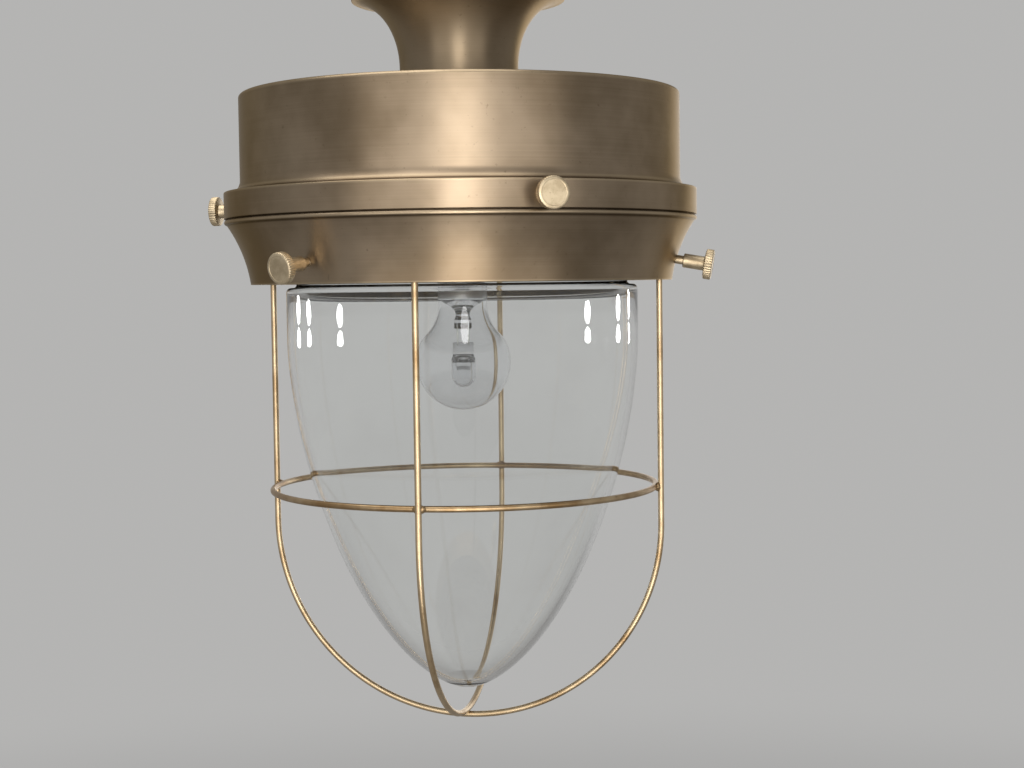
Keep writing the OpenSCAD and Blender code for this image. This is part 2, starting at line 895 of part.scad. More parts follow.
// From a post of the lampholder up the tube, over the bracket and down into the terminal block
lead_end_y = block_y + block_w / 2 - clamp_inset / 2;
lead_points = [
    [terminal_x, 0, insert_top - 0.8], [terminal_x, 0, insert_top + 0.8],
    [terminal_x - 0.1, 0, insert_top + 2], [5, 0, stem_bottom - 3],
    [lead_x + 0.3, 0, stem_bottom - 0.5], [lead_x, 0, stem_bottom + 3],
    [lead_x, 0, -60], [lead_x, 0, stem_top - 2], [lead_x + 0.6, 1, stem_top + 3],
    [3.4, 6, -3.6], [4.2, 14, -3.4], [4.5, 24, -5], [4.5, 30, -10], [4.5, 31, -16],
    [4.5, lead_end_y + 2.5, clamp_z - 0.2], [4.5, lead_end_y, clamp_z]
];
lead_steps = 4;
lead_sides = 8;
lead_side = [1, 0.02, 0.01];

module lead() {
    tube(smooth_route(lead_points, lead_steps), lead_d / 2, lead_sides, lead_side);
}

module live_lead() {
    color("#6b4a2f")
        mirror([1, 0, 0])
            lead();
}

module neutral_lead() {
    color("#3f6fb0")
        lead();
}

// Bulb
bulb_r = bulb_d / 2;
bulb_neck_r = bulb_neck_d / 2;
cap_r = cap_d / 2;
bulb_top = contact_top - seat;
cap_bottom = bulb_top - cap_l;
bulb_bottom = bulb_top - bulb_l;
globe_z = bulb_bottom + bulb_r;
// The neck runs into the globe along an arc of this radius, and the globe's arc starts a step past it
neck_blend_r = 30;
blend_step = 4;
blend_rise = sqrt(pow(bulb_r + neck_blend_r, 2) - pow(bulb_neck_r + neck_blend_r, 2));
blend_angle = asin(blend_rise / (bulb_r + neck_blend_r));
collar_top = cap_bottom + cap_collar_h;
collar_wall = 0.4;
bulb_path = concat(
    [[bulb_neck_r, cap_bottom - seat]],
    arc([bulb_neck_r + neck_blend_r, globe_z + blend_rise], neck_blend_r, neck_blend_r,
        180, 180 + blend_angle, 6),
    [for (p = arc([0, globe_z], bulb_r, bulb_r, blend_angle - blend_step, -90, 20)) [max(p[0], 0), p[1]]]
);
bulb_inner = [for (i = [0:len(bulb_path) - 2]) shifted(bulb_path, i, -bulb_wall)];

module bulb_envelope() {
    color("white", 0.35)
        rotate_extrude()
            polygon(concat(bulb_path, [[0, bulb_bottom + bulb_wall]], reversed(bulb_inner)));
}

insulator_h = 2.5;
cap_shoulder = bulb_top - insulator_h;
collar_edge = 1;
thread_pitch = 3.6;
thread_turns = 4;
thread_steps = 8;
thread_swell = 0.5;
// The cap's crown: where its bevel starts, how high it is and how far in its hole lies
crown_edge = 1.6;
crown_h = 1;
crown_in = 4;
crown_gap = 0.2;
crown_r = cap_r - crown_in;
// The rolled thread in section: round crests with round hollows between them
thread_profile = [for (i = [0:thread_turns * thread_steps])
    [
        cap_r - thread_swell * (1 + cos(360 * i / thread_steps)),
        collar_top + collar_edge + thread_pitch * i / thread_steps
    ]];
cap_outer = concat(
    [[bulb_neck_r, cap_bottom], [bulb_neck_r, collar_top - collar_edge], [cap_r - collar_edge, collar_top]],
    thread_profile,
    [[cap_r - crown_edge, cap_shoulder - crown_h], [crown_r, cap_shoulder]]
);

module bulb_cap() {
    color("#c9c9c6")
        rotate_extrude()
            polygon(concat(cap_outer, reversed(beside(cap_outer, collar_wall))));
}

insulator_top_r = 5.4;
plug_r = crown_r - collar_wall - crown_gap;
tip_foot_r = 4.8;
tip_face_r = 4;
tip_h = 0.9;

module bulb_insulator() {
    color("#1d1b1a")
        rotate_extrude()
            polygon([
                [0, cap_shoulder - crown_h], [plug_r, cap_shoulder - crown_h], [plug_r, cap_shoulder + seat],
                [crown_r - crown_gap, cap_shoulder + seat], [insulator_top_r, bulb_top - tip_h],
                [0, bulb_top - tip_h]
            ]);
}

module bulb_contact() {
    color(steel)
        translate([0, 0, bulb_top - tip_h + seat])
            cylinder(r1 = tip_foot_r, r2 = tip_face_r, h = tip_h - seat);
}

// Glass stem inside the neck, the two support wires, and the capsule with its filament
stem_gap = 0.2;
stem_flare_r = bulb_neck_r - bulb_wall - stem_gap;
flare_rim_h = 1;
glass_stem_r = 4;
glass_stem_h = 20;
stem_base = cap_bottom - seat;
stem_end = stem_base - glass_stem_h;
pinch_overlap = 1;
// The stem's flare ends just short of level
flare_end = 80;
// Width, thickness and height of the flat pinches that hold the support wires
stem_pinch = [10, 3.6, 7];
capsule_pinch = [12, 4, 7];
stem_waist = stem_end + stem_pinch[2] - pinch_overlap;
capsule_drop = 9;
capsule_r = 7;
capsule_l = 26;
capsule_wall = 1;
capsule_top = stem_end - capsule_drop;
capsule_round = capsule_top - capsule_l + capsule_r;
capsule_tube_h = capsule_l - capsule_r - capsule_pinch[2];
support_x = 3.2;
support_d = 0.9;
// Depth of the support wires in the stem and in the capsule
stem_hold = 4;
capsule_hold = 2;

// The hole of a support wire
module support_holes(low, height) {
    for (side = [-1, 1])
        translate([side * support_x, 0, low])
            cylinder(d = support_d + 2 * seat, h = height);
}

// A flat pinch that stands on a level
module pinch(size, low) {
    translate([-size[0] / 2, -size[1] / 2, low])
        cube(size);
}

module bulb_stem() {
    color("white", 0.4)
        difference() {
            union() {
                rotate_extrude()
                    polygon(concat(
                        [[0, stem_base], [stem_flare_r, stem_base], [stem_flare_r, stem_base - flare_rim_h]],
                        arc([stem_flare_r, stem_waist], glass_stem_r - stem_flare_r,
                            stem_base - flare_rim_h - stem_waist, flare_end, 0, 6),
                        [[0, stem_waist]]
                    ));
                pinch(stem_pinch, stem_end);
            }
            support_holes(stem_end - past, stem_hold + past);
        }
}

module bulb_supports() {
    color(steel)
        for (side = [-1, 1])
            translate([side * support_x, 0, capsule_top - capsule_hold])
                cylinder(d = support_d, h = capsule_hold + capsule_drop + stem_hold - seat);
}

// A bar of the capsule's shape, with a round end below
module round_tube(radius, height) {
    translate([0, 0, capsule_round]) {
        cylinder(r = radius, h = height);
        sphere(r = radius);
    }
}

module bulb_capsule() {
    color("white", 0.4)
        difference() {
            union() {
                round_tube(capsule_r, capsule_tube_h + pinch_overlap);
                pinch(capsule_pinch, capsule_top - capsule_pinch[2]);
            }
            round_tube(capsule_r - capsule_wall, capsule_tube_h - capsule_wall);
            support_holes(capsule_top - capsule_hold - seat, capsule_hold + seat + past);
        }
}

coil_turns = 9;
coil_steps = 8;
coil_r = 1.1;
coil_l = 8;
coil_wire_r = 0.2;
coil_drop = 15;
coil_z = capsule_top - coil_drop;
// A leg of the coil bends up beside its end and meets the inside of the pinch above its support wire
leg_out = 0.6;
leg_rise = 2;
leg_top = capsule_top - capsule_pinch[2] - capsule_wall - seat;
coil_points = coil_turns * coil_steps;
coil_route = concat(
    [[-support_x, 0, leg_top], [-coil_l / 2 - leg_out, 0, coil_z + leg_rise]],
    [for (i = [0:coil_points])
        let (a = 360 * i / coil_steps)
            [coil_l * (i / coil_points - 0.5), coil_r * sin(a), coil_z + coil_r * cos(a)]],
    [[coil_l / 2 + leg_out, 0, coil_z + leg_rise], [support_x, 0, leg_top]]
);

module bulb_filament() {
    color("#5a5550")
        tube(coil_route, coil_wire_r, 6, [0.02, 0.01, 1]);
}

ceiling_bracket();
bracket_nut();
earth_screw();
terminal_block();
terminal_clamps();
terminal_screws();
block_screw();
canopy();
stem_tube();
drum();
drum_washer();
drum_nut();
live_lead();
neutral_lead();
holder_cap();
holder_grub_screw();
holder_insert();
holder_terminals();
centre_contact();
thread_shell();
holder_skirt();
fitter_ring();
lower_bushes();
glass_shade();
cage_hoop_front();
cage_hoop_side();
cage_ring();
cage_nuts();
upper_screw(0);  // upper_screw_1
upper_screw(1);  // upper_screw_2
upper_screw(2);  // upper_screw_3
lower_screw(0);  // lower_screw_1
lower_screw(1);  // lower_screw_2
lower_screw(2);  // lower_screw_3
bulb_cap();
bulb_insulator();
bulb_contact();
bulb_envelope();
bulb_stem();
bulb_supports();
bulb_capsule();
bulb_filament();
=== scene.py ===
# %% [markdown]
# A ceiling lantern: a spun canopy and drum, a fitter ring with thumbscrews, a clear glass and a wire cage.
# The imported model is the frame. Every piece made here takes its place from it, so nothing is fitted by eye.
# +Z is up, the ceiling is at zero and the lantern hangs below it. Shapes are worked out in millimetres and
# become metres, Blender's unit, when their mesh is made. Lamps, camera and floor are in metres.

# %% Load the frame
import json
import math

import bmesh
import bpy
import numpy as np
from mathutils import Matrix, Vector


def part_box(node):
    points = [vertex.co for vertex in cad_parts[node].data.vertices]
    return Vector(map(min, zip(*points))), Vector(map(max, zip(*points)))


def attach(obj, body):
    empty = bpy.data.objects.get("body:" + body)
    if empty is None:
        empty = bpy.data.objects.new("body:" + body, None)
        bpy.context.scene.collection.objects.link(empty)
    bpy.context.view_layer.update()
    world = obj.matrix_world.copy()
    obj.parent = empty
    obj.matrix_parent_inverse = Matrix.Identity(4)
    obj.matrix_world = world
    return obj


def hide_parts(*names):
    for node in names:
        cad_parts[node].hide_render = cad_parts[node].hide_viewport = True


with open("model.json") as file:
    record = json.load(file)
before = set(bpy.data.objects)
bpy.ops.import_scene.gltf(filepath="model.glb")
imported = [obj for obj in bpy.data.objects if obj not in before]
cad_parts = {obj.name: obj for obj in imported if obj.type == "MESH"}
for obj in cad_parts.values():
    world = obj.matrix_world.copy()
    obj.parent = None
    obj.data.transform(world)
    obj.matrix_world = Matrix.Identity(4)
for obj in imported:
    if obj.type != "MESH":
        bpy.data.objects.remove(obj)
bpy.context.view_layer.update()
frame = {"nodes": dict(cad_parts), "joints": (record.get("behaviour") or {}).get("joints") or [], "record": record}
bpy.context.scene.view_settings.view_transform = "Standard"
print("nodes in the frame:", len(frame["nodes"]))

MM = 0.001


def top_of(node):
    """The highest level of a node at rest."""
    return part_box(node)[1].z / MM


def foot_of(node):
    """The lowest level of a node at rest."""
    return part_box(node)[0].z / MM


def radius_of(node):
    """The outer radius of a node that is spun about the lantern's axis."""
    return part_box(node)[1].x / MM


def add_object(name, data):
    """A new object in the scene."""
    thing = bpy.data.objects.new(name, data)
    bpy.context.scene.collection.objects.link(thing)
    return thing


# %% [markdown]
# The camera stands about a metre in front and looks a little down. The photograph was taken by hand, so the
# camera is also rolled by less than a degree. The focal length comes from the ellipses of the drum and the
# cage ring, which flatten as the camera moves away.

# %% Camera
CAMERA_AT = Vector((0.0, -1.014, -0.170))
CAMERA_YAW = math.radians(1.58)
CAMERA_PITCH = math.radians(3.23)
CAMERA_ROLL = math.radians(-0.76)
SENSOR_W = 36.0
FOCAL_PX = 1752.0
IMAGE_W = 1024

# its axes: forward from yaw and pitch, then right and up turned about it by the roll
forward = Vector((
    math.sin(CAMERA_YAW) * math.cos(CAMERA_PITCH),
    math.cos(CAMERA_YAW) * math.cos(CAMERA_PITCH),
    -math.sin(CAMERA_PITCH),
))
sideways = Vector((math.cos(CAMERA_YAW), -math.sin(CAMERA_YAW), 0.0))
upright = sideways.cross(forward)
right = math.cos(CAMERA_ROLL) * sideways + math.sin(CAMERA_ROLL) * upright
up = -math.sin(CAMERA_ROLL) * sideways + math.cos(CAMERA_ROLL) * upright
lens = bpy.data.cameras.new("camera")
lens.sensor_width = SENSOR_W
lens.lens = FOCAL_PX * SENSOR_W / IMAGE_W
camera = add_object("camera", lens)
camera.matrix_world = Matrix.Translation(CAMERA_AT) @ Matrix((right, up, -forward)).transposed().to_4x4()
bpy.context.scene.camera = camera
print("camera lens:", round(lens.lens, 1), "mm")

# %% [markdown]
# Each mesh comes from a grid: rows and columns of points, joined by squares. These helpers close a grid's
# seams, weld its poles and turn its faces outwards. A sealed hollow is a shell of its own whose faces look
# into the hollow, which glass needs in order to bend light the right way.

# %% Shells from grids
WELD = 1e-7


def squares(rows, columns, wrap_rows):
    """The corner numbers of every square of a grid. Its columns close on themselves, wrapped rows too."""
    index = np.arange(rows * columns).reshape(rows, columns)
    index = np.hstack([index, index[:, :1]])
    if wrap_rows:
        index = np.vstack([index, index[:1]])
    corners = [index[:-1, :-1], index[1:, :-1], index[1:, 1:], index[:-1, 1:]]
    return np.stack(corners, axis=-1).reshape(-1, 4)


def add_shell(work, grid, wrap_rows=False, inwards=False):
    """Adds one grid to a bmesh, with its doubles welded, its open ends capped and its faces turned."""
    shell = bmesh.new()
    mesh = bpy.data.meshes.new("shell")
    points = (grid * MM).reshape(-1, 3)
    mesh.from_pydata(points.tolist(), [], squares(*grid.shape[:2], wrap_rows).tolist())
    shell.from_mesh(mesh)
    bmesh.ops.remove_doubles(shell, verts=shell.verts, dist=WELD)
    open_edges = [edge for edge in shell.edges if edge.is_boundary]
    if open_edges:
        bmesh.ops.holes_fill(shell, edges=open_edges, sides=0)
    bmesh.ops.recalc_face_normals(shell, faces=shell.faces)
    if inwards:
        bmesh.ops.reverse_faces(shell, faces=shell.faces)
    shell.to_mesh(mesh)
    shell.free()
    work.from_mesh(mesh)
    bpy.data.meshes.remove(mesh)


def write_mesh(work, mesh, sharp):
    """Writes a bmesh into a mesh, smooth but for the edges that are sharper than an angle."""
    for face in work.faces:
        face.smooth = True
    work.to_mesh(mesh)
    work.free()
    mesh.set_sharp_from_angle(angle=math.radians(sharp))


def mesh_piece(name, *grids, wrap_rows=False, hollow=None, sharp=35.0):
    """One piece from its shells. A hollow is one more grid, whose faces look inwards."""
    work = bmesh.new()
    for grid in grids:
        add_shell(work, grid, wrap_rows)
    if hollow is not None:
        add_shell(work, hollow, inwards=True)
    mesh = bpy.data.meshes.new(name)
    write_mesh(work, mesh, sharp)
    return add_object(name, mesh)


print("a grid of 4 by 6 that closes both ways has", len(squares(4, 6, True)), "squares")

# %% [markdown]
# Most pieces here were made on a lathe, so most shapes are an outline carried round an axis. The outline's
# runs are arcs and straight lines, and a sheet's inner face is its outer face moved sideways by the
# thickness.

# %% Outlines and turned shapes
def path_of(*parts):
    """Joins single points and runs of points into one array."""
    return np.concatenate([np.atleast_2d(np.asarray(part, float)) for part in parts])


def as_points(*columns):
    """Points from their coordinates, which are stretched to one shape."""
    return np.stack(np.broadcast_arrays(*columns), axis=-1)


def arc(centre, across, upright, start, end, steps):
    """Points of an ellipse's arc in (radius, height), between two angles in degrees."""
    angle = np.radians(np.linspace(start, end, steps + 1))
    return as_points(centre[0] + across * np.cos(angle), centre[1] + upright * np.sin(angle))


def beside(path, gap):
    """The path moved sideways by a gap: each point goes along the mean of its neighbours' normals,
    lengthened at a corner so that the wall keeps its thickness."""
    run = np.diff(path, axis=0)
    normal = as_points(-run[:, 1], run[:, 0]) / np.linalg.norm(run, axis=1, keepdims=True)
    middle = np.vstack([normal[:1] * 2, normal[:-1] + normal[1:], normal[-1:] * 2])
    return path + gap * 2 * middle / np.sum(middle * middle, axis=1, keepdims=True)


def angles(count):
    """Evenly spread angles round a full turn, the last one short of the first."""
    return np.linspace(0, 2 * np.pi, count, endpoint=False)


def round_axis(radius, turn, height):
    """Points about the lantern's axis: x = radius sin turn, y = -radius cos turn, z = height."""
    return as_points(radius * np.sin(turn), -radius * np.cos(turn), height)


print("outline helpers are ready")

# %% [markdown]
# A piece that is made here stands for a node of the frame. It takes the node's place, its slot and the body
# that carries it, so the record says once where everything belongs.

# %% Pieces and their nodes
EDGE_SEGMENTS = 2
EDGE_ANGLE = 35
SLOT_OF = {row["node"]: row["material_slot"] for row in frame["record"]["subparts"]}
BODY_OF = {
    node: body
    for body, nodes in frame["record"]["behaviour"]["bodies"].items()
    for node in nodes
}


def softened(piece, width):
    """Rounds the piece's sharp edges, so that they catch the light as turned metal does."""
    bevel = piece.modifiers.new("edges", "BEVEL")
    bevel.width = width * MM
    bevel.segments = EDGE_SEGMENTS
    bevel.limit_method = "ANGLE"
    bevel.angle_limit = math.radians(EDGE_ANGLE)
    bevel.harden_normals = True


def placed(piece, node, stands_in=True):
    """Gives a piece the slot and the body of its node, the finish that was made last for that slot, and the
    node to stand for."""
    piece.data.materials.append(FINISHES[SLOT_OF[node]])
    if stands_in:
        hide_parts(node)
    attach(piece, BODY_OF[node])
    print(piece.name, len(piece.data.polygons), "faces")
    return piece


def add_piece(name, node, *grids, edge=0.0, **settings):
    """Makes the piece that stands for a node. edge is how far its sharp edges are rounded."""
    piece = mesh_piece(name, *grids, **settings)
    if edge:
        softened(piece, edge)
    return placed(piece, node)


def turned(name, node, outline, turns=256, wrap_rows=True, **settings):
    """A turned piece. Its outline closes on itself, or runs from the axis to the axis if rows don't wrap."""
    grid = round_axis(outline[:, :1], angles(turns), outline[:, 1:])
    return add_piece(name, node, grid, wrap_rows=wrap_rows, **settings)


print(len(BODY_OF), "nodes know their body")

# %% [markdown]
# Shader maths reads best as arithmetic. A small class wraps a socket, and each operator adds the Math node
# that does it. Colours go through Mix nodes instead, so that they stay colours.

# %% Shader sockets
class Value:
    """A number that changes over a surface: an output socket with operators."""

    def __init__(self, tree, socket):
        self.tree = tree
        self.socket = socket

    def math(self, operation, *others):
        """One Math node on this value and the others."""
        return add_node(self.tree, "ShaderNodeMath", {"operation": operation}, self, *others)

    def __add__(self, other):
        return self.math("ADD", other)

    def __sub__(self, other):
        return self.math("SUBTRACT", other)

    def __rsub__(self, other):
        return add_node(self.tree, "ShaderNodeMath", {"operation": "SUBTRACT"}, other, self)

    def __mul__(self, other):
        return self.math("MULTIPLY", other)

    def __pow__(self, other):
        return self.math("POWER", other)

    __radd__ = __add__

    def smooth(self, low, high):
        """0 below low, 1 above high, and an S-shaped step between them."""
        settings = {"interpolation_type": "SMOOTHSTEP"}
        return add_node(self.tree, "ShaderNodeMapRange", settings, self, low, high, 0.0, 1.0)


def add_node(tree, kind, settings, *inputs, output=0, **named):
    """Any node: its settings first, then its sockets in order or by name, as numbers, colours or links."""
    node = tree.nodes.new(kind)
    for key, setting in settings.items():
        setattr(node, key, setting)
    for place, value in list(enumerate(inputs)) + list(named.items()):
        socket = node.inputs[place.replace("_", " ") if isinstance(place, str) else place]
        if isinstance(value, Value):
            tree.links.new(value.socket, socket)
        elif value is not None:
            socket.default_value = value
    return Value(tree, node.outputs[output])


def mixed(share, first, second):
    """A colour between two colours. A share of 0 gives the first and 1 the second."""
    colours = [colour if isinstance(colour, Value) else (*colour, 1.0) for colour in (first, second)]
    settings = {"data_type": "RGBA"}
    return add_node(share.tree, "ShaderNodeMix", settings, share, *[None] * 5, *colours, output=2)


FINISHES = {}


class Finish:
    """A material with one Principled shader and the coordinates for its patterns. FINISHES keeps it by its
    slot, which is its own name unless another one is given."""

    def __init__(self, name, slot=None, **fixed):
        self.material = bpy.data.materials.new(name)
        FINISHES[slot or name] = self.material
        self.material.use_nodes = True
        self.tree = self.material.node_tree
        self.shader = self.tree.nodes["Principled BSDF"]
        self.surface = self.tree.nodes["Material Output"].inputs["Surface"]
        for key, value in fixed.items():
            self.shader.inputs[key.replace("_", " ")].default_value = value
        self.place = add_node(self.tree, "ShaderNodeTexCoord", {}, output=3)
        self.x, self.y, self.z = (
            add_node(self.tree, "ShaderNodeSeparateXYZ", {}, self.place, output=part) for part in range(3)
        )

    def radius(self):
        """The distance from the lantern's axis."""
        return (self.x * self.x + self.y * self.y) ** 0.5

    def noise(self, scale, detail=3.0, rough=0.5, at=None):
        """Soft noise from 0 to 1. The scale is in waves per metre."""
        return add_node(self.tree, "ShaderNodeTexNoise", {}, at or self.place,
                        Scale=scale, Detail=detail, Roughness=rough)

    def drawn(self, round_scale, along, detail=4.0, rough=0.6):
        """Noise with one scale round the axis and another one in a value that changes along it."""
        parts = self.x * round_scale, self.y * round_scale, along
        return self.noise(1.0, detail, rough, add_node(self.tree, "ShaderNodeCombineXYZ", {}, *parts))

    def near(self, level, width):
        """1 at a level, falling to 0 at a width from it, both in millimetres."""
        return 1.0 - (self.z - level * MM).math("ABSOLUTE").smooth(0.0, width * MM)

    def drive(self, **sockets):
        """Links values into the shader's sockets."""
        for key, value in sockets.items():
            self.tree.links.new(value.socket, self.shader.inputs[key.replace("_", " ")])

    def cover(self, colour, rough, height, depth, strength):
        """Links a colour, a roughness and a height pattern that raises the surface by a depth in metres."""
        raised = add_node(self.tree, "ShaderNodeBump", {}, Strength=strength, Distance=depth, Height=height)
        self.drive(Base_Color=colour, Roughness=rough, Normal=raised)


print("shader helpers are ready")

# %% [markdown]
# The stage is a pale floor in a plain pale room. The room shows its colour to the camera, to metal and to
# glass, and lights matt surfaces at a plain level. Far out the floor fades into it, so no horizon shows.

# %% Stage
ROOM = (0.46, 0.457, 0.45)
FILL = (0.14, 0.14, 0.143)
FLOOR_LEVEL = -1.15
FLOOR_SIZE = 14.0
FADE_FROM = 0.9
FADE_TO = 3.2


def add_floor():
    """A wide flat floor under the lantern, which fades into the room's colour with its distance."""
    half = FLOOR_SIZE / 2
    corners = [(-half, -half), (half, -half), (half, half), (-half, half)]
    mesh = bpy.data.meshes.new("floor")
    mesh.from_pydata([(x, y, FLOOR_LEVEL) for x, y in corners], [], [(0, 1, 2, 3)])
    floor = add_object("floor", mesh)
    finish = Finish("pale_floor", Roughness=0.8)
    grain = finish.noise(3.0, 4.0)
    finish.drive(Base_Color=mixed(grain, (0.80, 0.797, 0.788), (0.84, 0.837, 0.828)))
    haze = add_node(finish.tree, "ShaderNodeEmission", {}, (*ROOM, 1.0))
    add_mix(finish, finish.radius().smooth(FADE_FROM, FADE_TO), haze)
    mesh.materials.append(finish.material)
    return floor


def add_mix(finish, share, other):
    """Puts a Mix Shader between the finish's own shader and another one."""
    own = Value(finish.tree, finish.shader.outputs[0])
    blend = add_node(finish.tree, "ShaderNodeMixShader", {}, share, own, other)
    finish.tree.links.new(blend.socket, finish.surface)


# the room's colour for camera, glossy and transmission rays, which are seen, and the fill for the rest
room = bpy.data.worlds.new("room")
bpy.context.scene.world = room
room.use_nodes = True
tree = room.node_tree
camera_ray, glossy_ray, through_ray = (
    add_node(tree, "ShaderNodeLightPath", {}, output=number) for number in (0, 3, 6)
)
seen = mixed(camera_ray + glossy_ray + through_ray, FILL, ROOM)
tree.links.new(seen.socket, tree.nodes["Background"].inputs["Color"])
floor = add_floor()
print("floor at", FLOOR_LEVEL, "m")

# %% [markdown]
# Two wide soft panels, left and right of the camera, and a third one behind give the metal its broad soft
# light. A small lamp beside the camera draws the upright highlight down its middle, and one near the floor
# draws it on the cove and the canopy, which face down. The lamp overhead lights the floor. All of them would
# show in the glass as pale squares, so light linking keeps them off it. Pairs of small lamps beside the
# lantern and one in front shine on the glass alone and draw the broken bright streaks in its upright part.

# %% Lamps
MIDDLE = (0.0, 0.0, -0.17)
WARM = (1.0, 0.965, 0.92)
SOFT_LAMPS = {
    "key": ((0.01, -1.16, -0.13), 0.36, 0.24, 3.4),
    "low_key": ((0.01, -0.92, -0.68), 0.40, 0.40, 3.4),
    "left_panel": ((-0.68, -1.40, -0.28), 1.30, 1.00, 6.8),
    "right_panel": ((0.68, -1.40, -0.28), 1.30, 1.00, 6.4),
    "back_panel": ((0.50, 1.50, -0.22), 1.50, 0.90, 6.0),
    "overhead": ((-0.30, -0.20, 1.15), 1.40, 1.40, 19.0),
}
STREAK_AZIMUTHS = (-81, -112, -127, 83, 115, 131)
STREAK_DISTANCE = 1.05
STREAK_LEVELS = (-0.182, -0.234)
STREAK_SIZE = (0.100, 0.047)
STREAK_WATTS = 0.28


def add_lamp(name, at, width, height, watts, aim=MIDDLE, colour=WARM, shape="RECTANGLE"):
    """A soft lamp that faces a point."""
    data = bpy.data.lights.new(name, "AREA")
    data.shape = shape
    data.size = width
    data.size_y = height
    data.energy = watts
    data.color = colour
    lamp = add_object(name, data)
    lamp.location = at
    lamp.rotation_euler = (Vector(aim) - Vector(at)).to_track_quat("-Z", "Y").to_euler()
    lamp.visible_camera = False
    lamp.visible_transmission = False
    return lamp


def add_streak(name, at, width, height, watts, level):
    """A small white lamp that draws one streak on the glass. It faces the axis at a level."""
    lamp = add_lamp(name, at, width, height, watts, (0.0, 0.0, level), (1.0, 1.0, 1.0), "ELLIPSE")
    lamp.light_linking.receiver_collection = glass_only


glass_only = bpy.data.collections.new("glass_only")
lamps = {name: add_lamp(name, *settings) for name, settings in SOFT_LAMPS.items()}
add_streak("front_streak", (0.02, -1.06, -0.200), 0.090, 0.090, 0.17, -0.19)
for azimuth in STREAK_AZIMUTHS:
    turn = math.radians(azimuth)
    for level in STREAK_LEVELS:
        lamp_at = (STREAK_DISTANCE * math.sin(turn), -STREAK_DISTANCE * math.cos(turn), level)
        add_streak(f"streak_{azimuth}_{round(-level / MM)}", lamp_at, *STREAK_SIZE, STREAK_WATTS, level)
print("lamps:", len(bpy.data.lights))

# %% [markdown]
# The body is brass that was spun on a lathe, rubbed satin and browned with a patina. Bands at its edges are
# lightened, partly as rubbed brass and partly as a painted highlight, and bands in its corners are darkened,
# partly as patina and partly as painted shade, so each spun piece gets its own. Lathe marks run round the axis, so
# their pattern reads the height plus the radius, which changes across every spun wall, and hardly reads the way
# round.

# %% Antique brass
BROWN = (0.178, 0.133, 0.086)
BRONZE = (0.340, 0.268, 0.192)
OLIVE = (0.205, 0.170, 0.116)
# lighter colour for edge bands: partly rubbed brass, partly a painted highlight
RUBBED_AND_HIGHLIT = (0.46, 0.37, 0.25)
# darker colour for corner bands: partly patina, partly painted shade in grooves and corners
CORNER_PATINA_AND_SHADE = (0.050, 0.031, 0.016)
FLECK = (0.075, 0.052, 0.031)
EDGE_TINT = (0.62, 0.55, 0.45, 1.0)


def antique_brass(name, worn_and_highlit, patina_and_shade):
    """Satin bronze brown. The two lists are (level, width) pairs in millimetres: bands at edges that are
    lightened, partly as rubbed brass and partly as a painted highlight, and bands in corners that are darkened,
    partly as patina and partly as painted shade."""
    finish = Finish(name, "antique_brass", Metallic=1.0, Specular_Tint=EDGE_TINT,
                    Anisotropic=0.65, Anisotropic_Rotation=0.25)
    cloud = finish.noise(13.0, 4.0, 0.55)
    marks = finish.drawn(5.0, (finish.z + finish.radius()) * 1500.0)
    fleck = finish.noise(380.0, 2.0, 0.6).smooth(0.64, 0.82)
    colour = mixed((cloud * 0.88 + marks * 0.12).smooth(0.30, 0.70), BROWN, BRONZE)
    colour = mixed(finish.noise(6.0, 2.0).smooth(0.45, 0.70) * 0.5, colour, OLIVE)
    # painted highlight, together with rubbed brass: lighter bands along the given edge levels
    for level, width in worn_and_highlit:
        colour = mixed(finish.near(level, width) * (0.20 + cloud * 0.55), colour, RUBBED_AND_HIGHLIT)
    # painted shade, together with patina: darker bands in the grooves and corners at the given levels
    for level, width in patina_and_shade:
        colour = mixed(finish.near(level, width) * 0.75, colour, CORNER_PATINA_AND_SHADE)
    rough = 0.34 + marks * 0.06 + cloud * 0.06
    finish.cover(mixed(fleck * 0.35, colour, FLECK), rough, marks, 0.00002, 0.22)
    return finish.material


print("antique brass is ready")

# %% [markdown]
# The thumbscrews are plain turned brass, yellower and lighter than the spun parts. The cage wire is drawn brass,
# bright where it is rubbed and orange brown in patches, and the soldered ring is browned more than the hoops.

# %% Screw, wire and ring brass
def screw_brass():
    """Turned brass with a thin even tarnish."""
    finish = Finish("screw_brass", Metallic=1.0)
    cloud = finish.noise(150.0, 4.0, 0.6)
    speck = finish.noise(1300.0, 2.0).smooth(0.58, 0.75)
    colour = mixed(cloud.smooth(0.3, 0.7), (0.40, 0.32, 0.21), (0.57, 0.475, 0.33))
    colour = mixed(speck * 0.4, colour, (0.19, 0.135, 0.075))
    finish.cover(colour, 0.36 + cloud * 0.14, speck, 0.00003, 0.3)


def wire_brass(name, tarnish):
    """Drawn wire: bright where it is rubbed, orange brown in patches, which tarnish makes wider."""
    finish = Finish(name, Metallic=1.0)
    cloud = finish.noise(36.0, 5.0, 0.62)
    spots = finish.noise(230.0, 3.0, 0.6)
    colour = mixed((cloud + tarnish).smooth(0.40, 0.80), (0.50, 0.39, 0.25), (0.27, 0.17, 0.08))
    colour = mixed(spots.smooth(0.66 - tarnish * 0.3, 0.80) * 0.7, colour, (0.07, 0.045, 0.025))
    finish.cover(colour, 0.32 + cloud * 0.14, spots, 0.00005, 0.35)


print("bright brasses are ready")

# %% [markdown]
# Clear glass is a Principled shader with full transmission. The path from a lamp bends on its way through,
# so its shadows would come out black and noisy, and a Mix Shader lets lamps straight through instead. Blown
# glass is never quite even: it has shallow upright waves and a faint smear of dust, which its roughness
# shows.

# %% Glass
CLEAR_SHADOW = (0.93, 0.94, 0.935, 1.0)


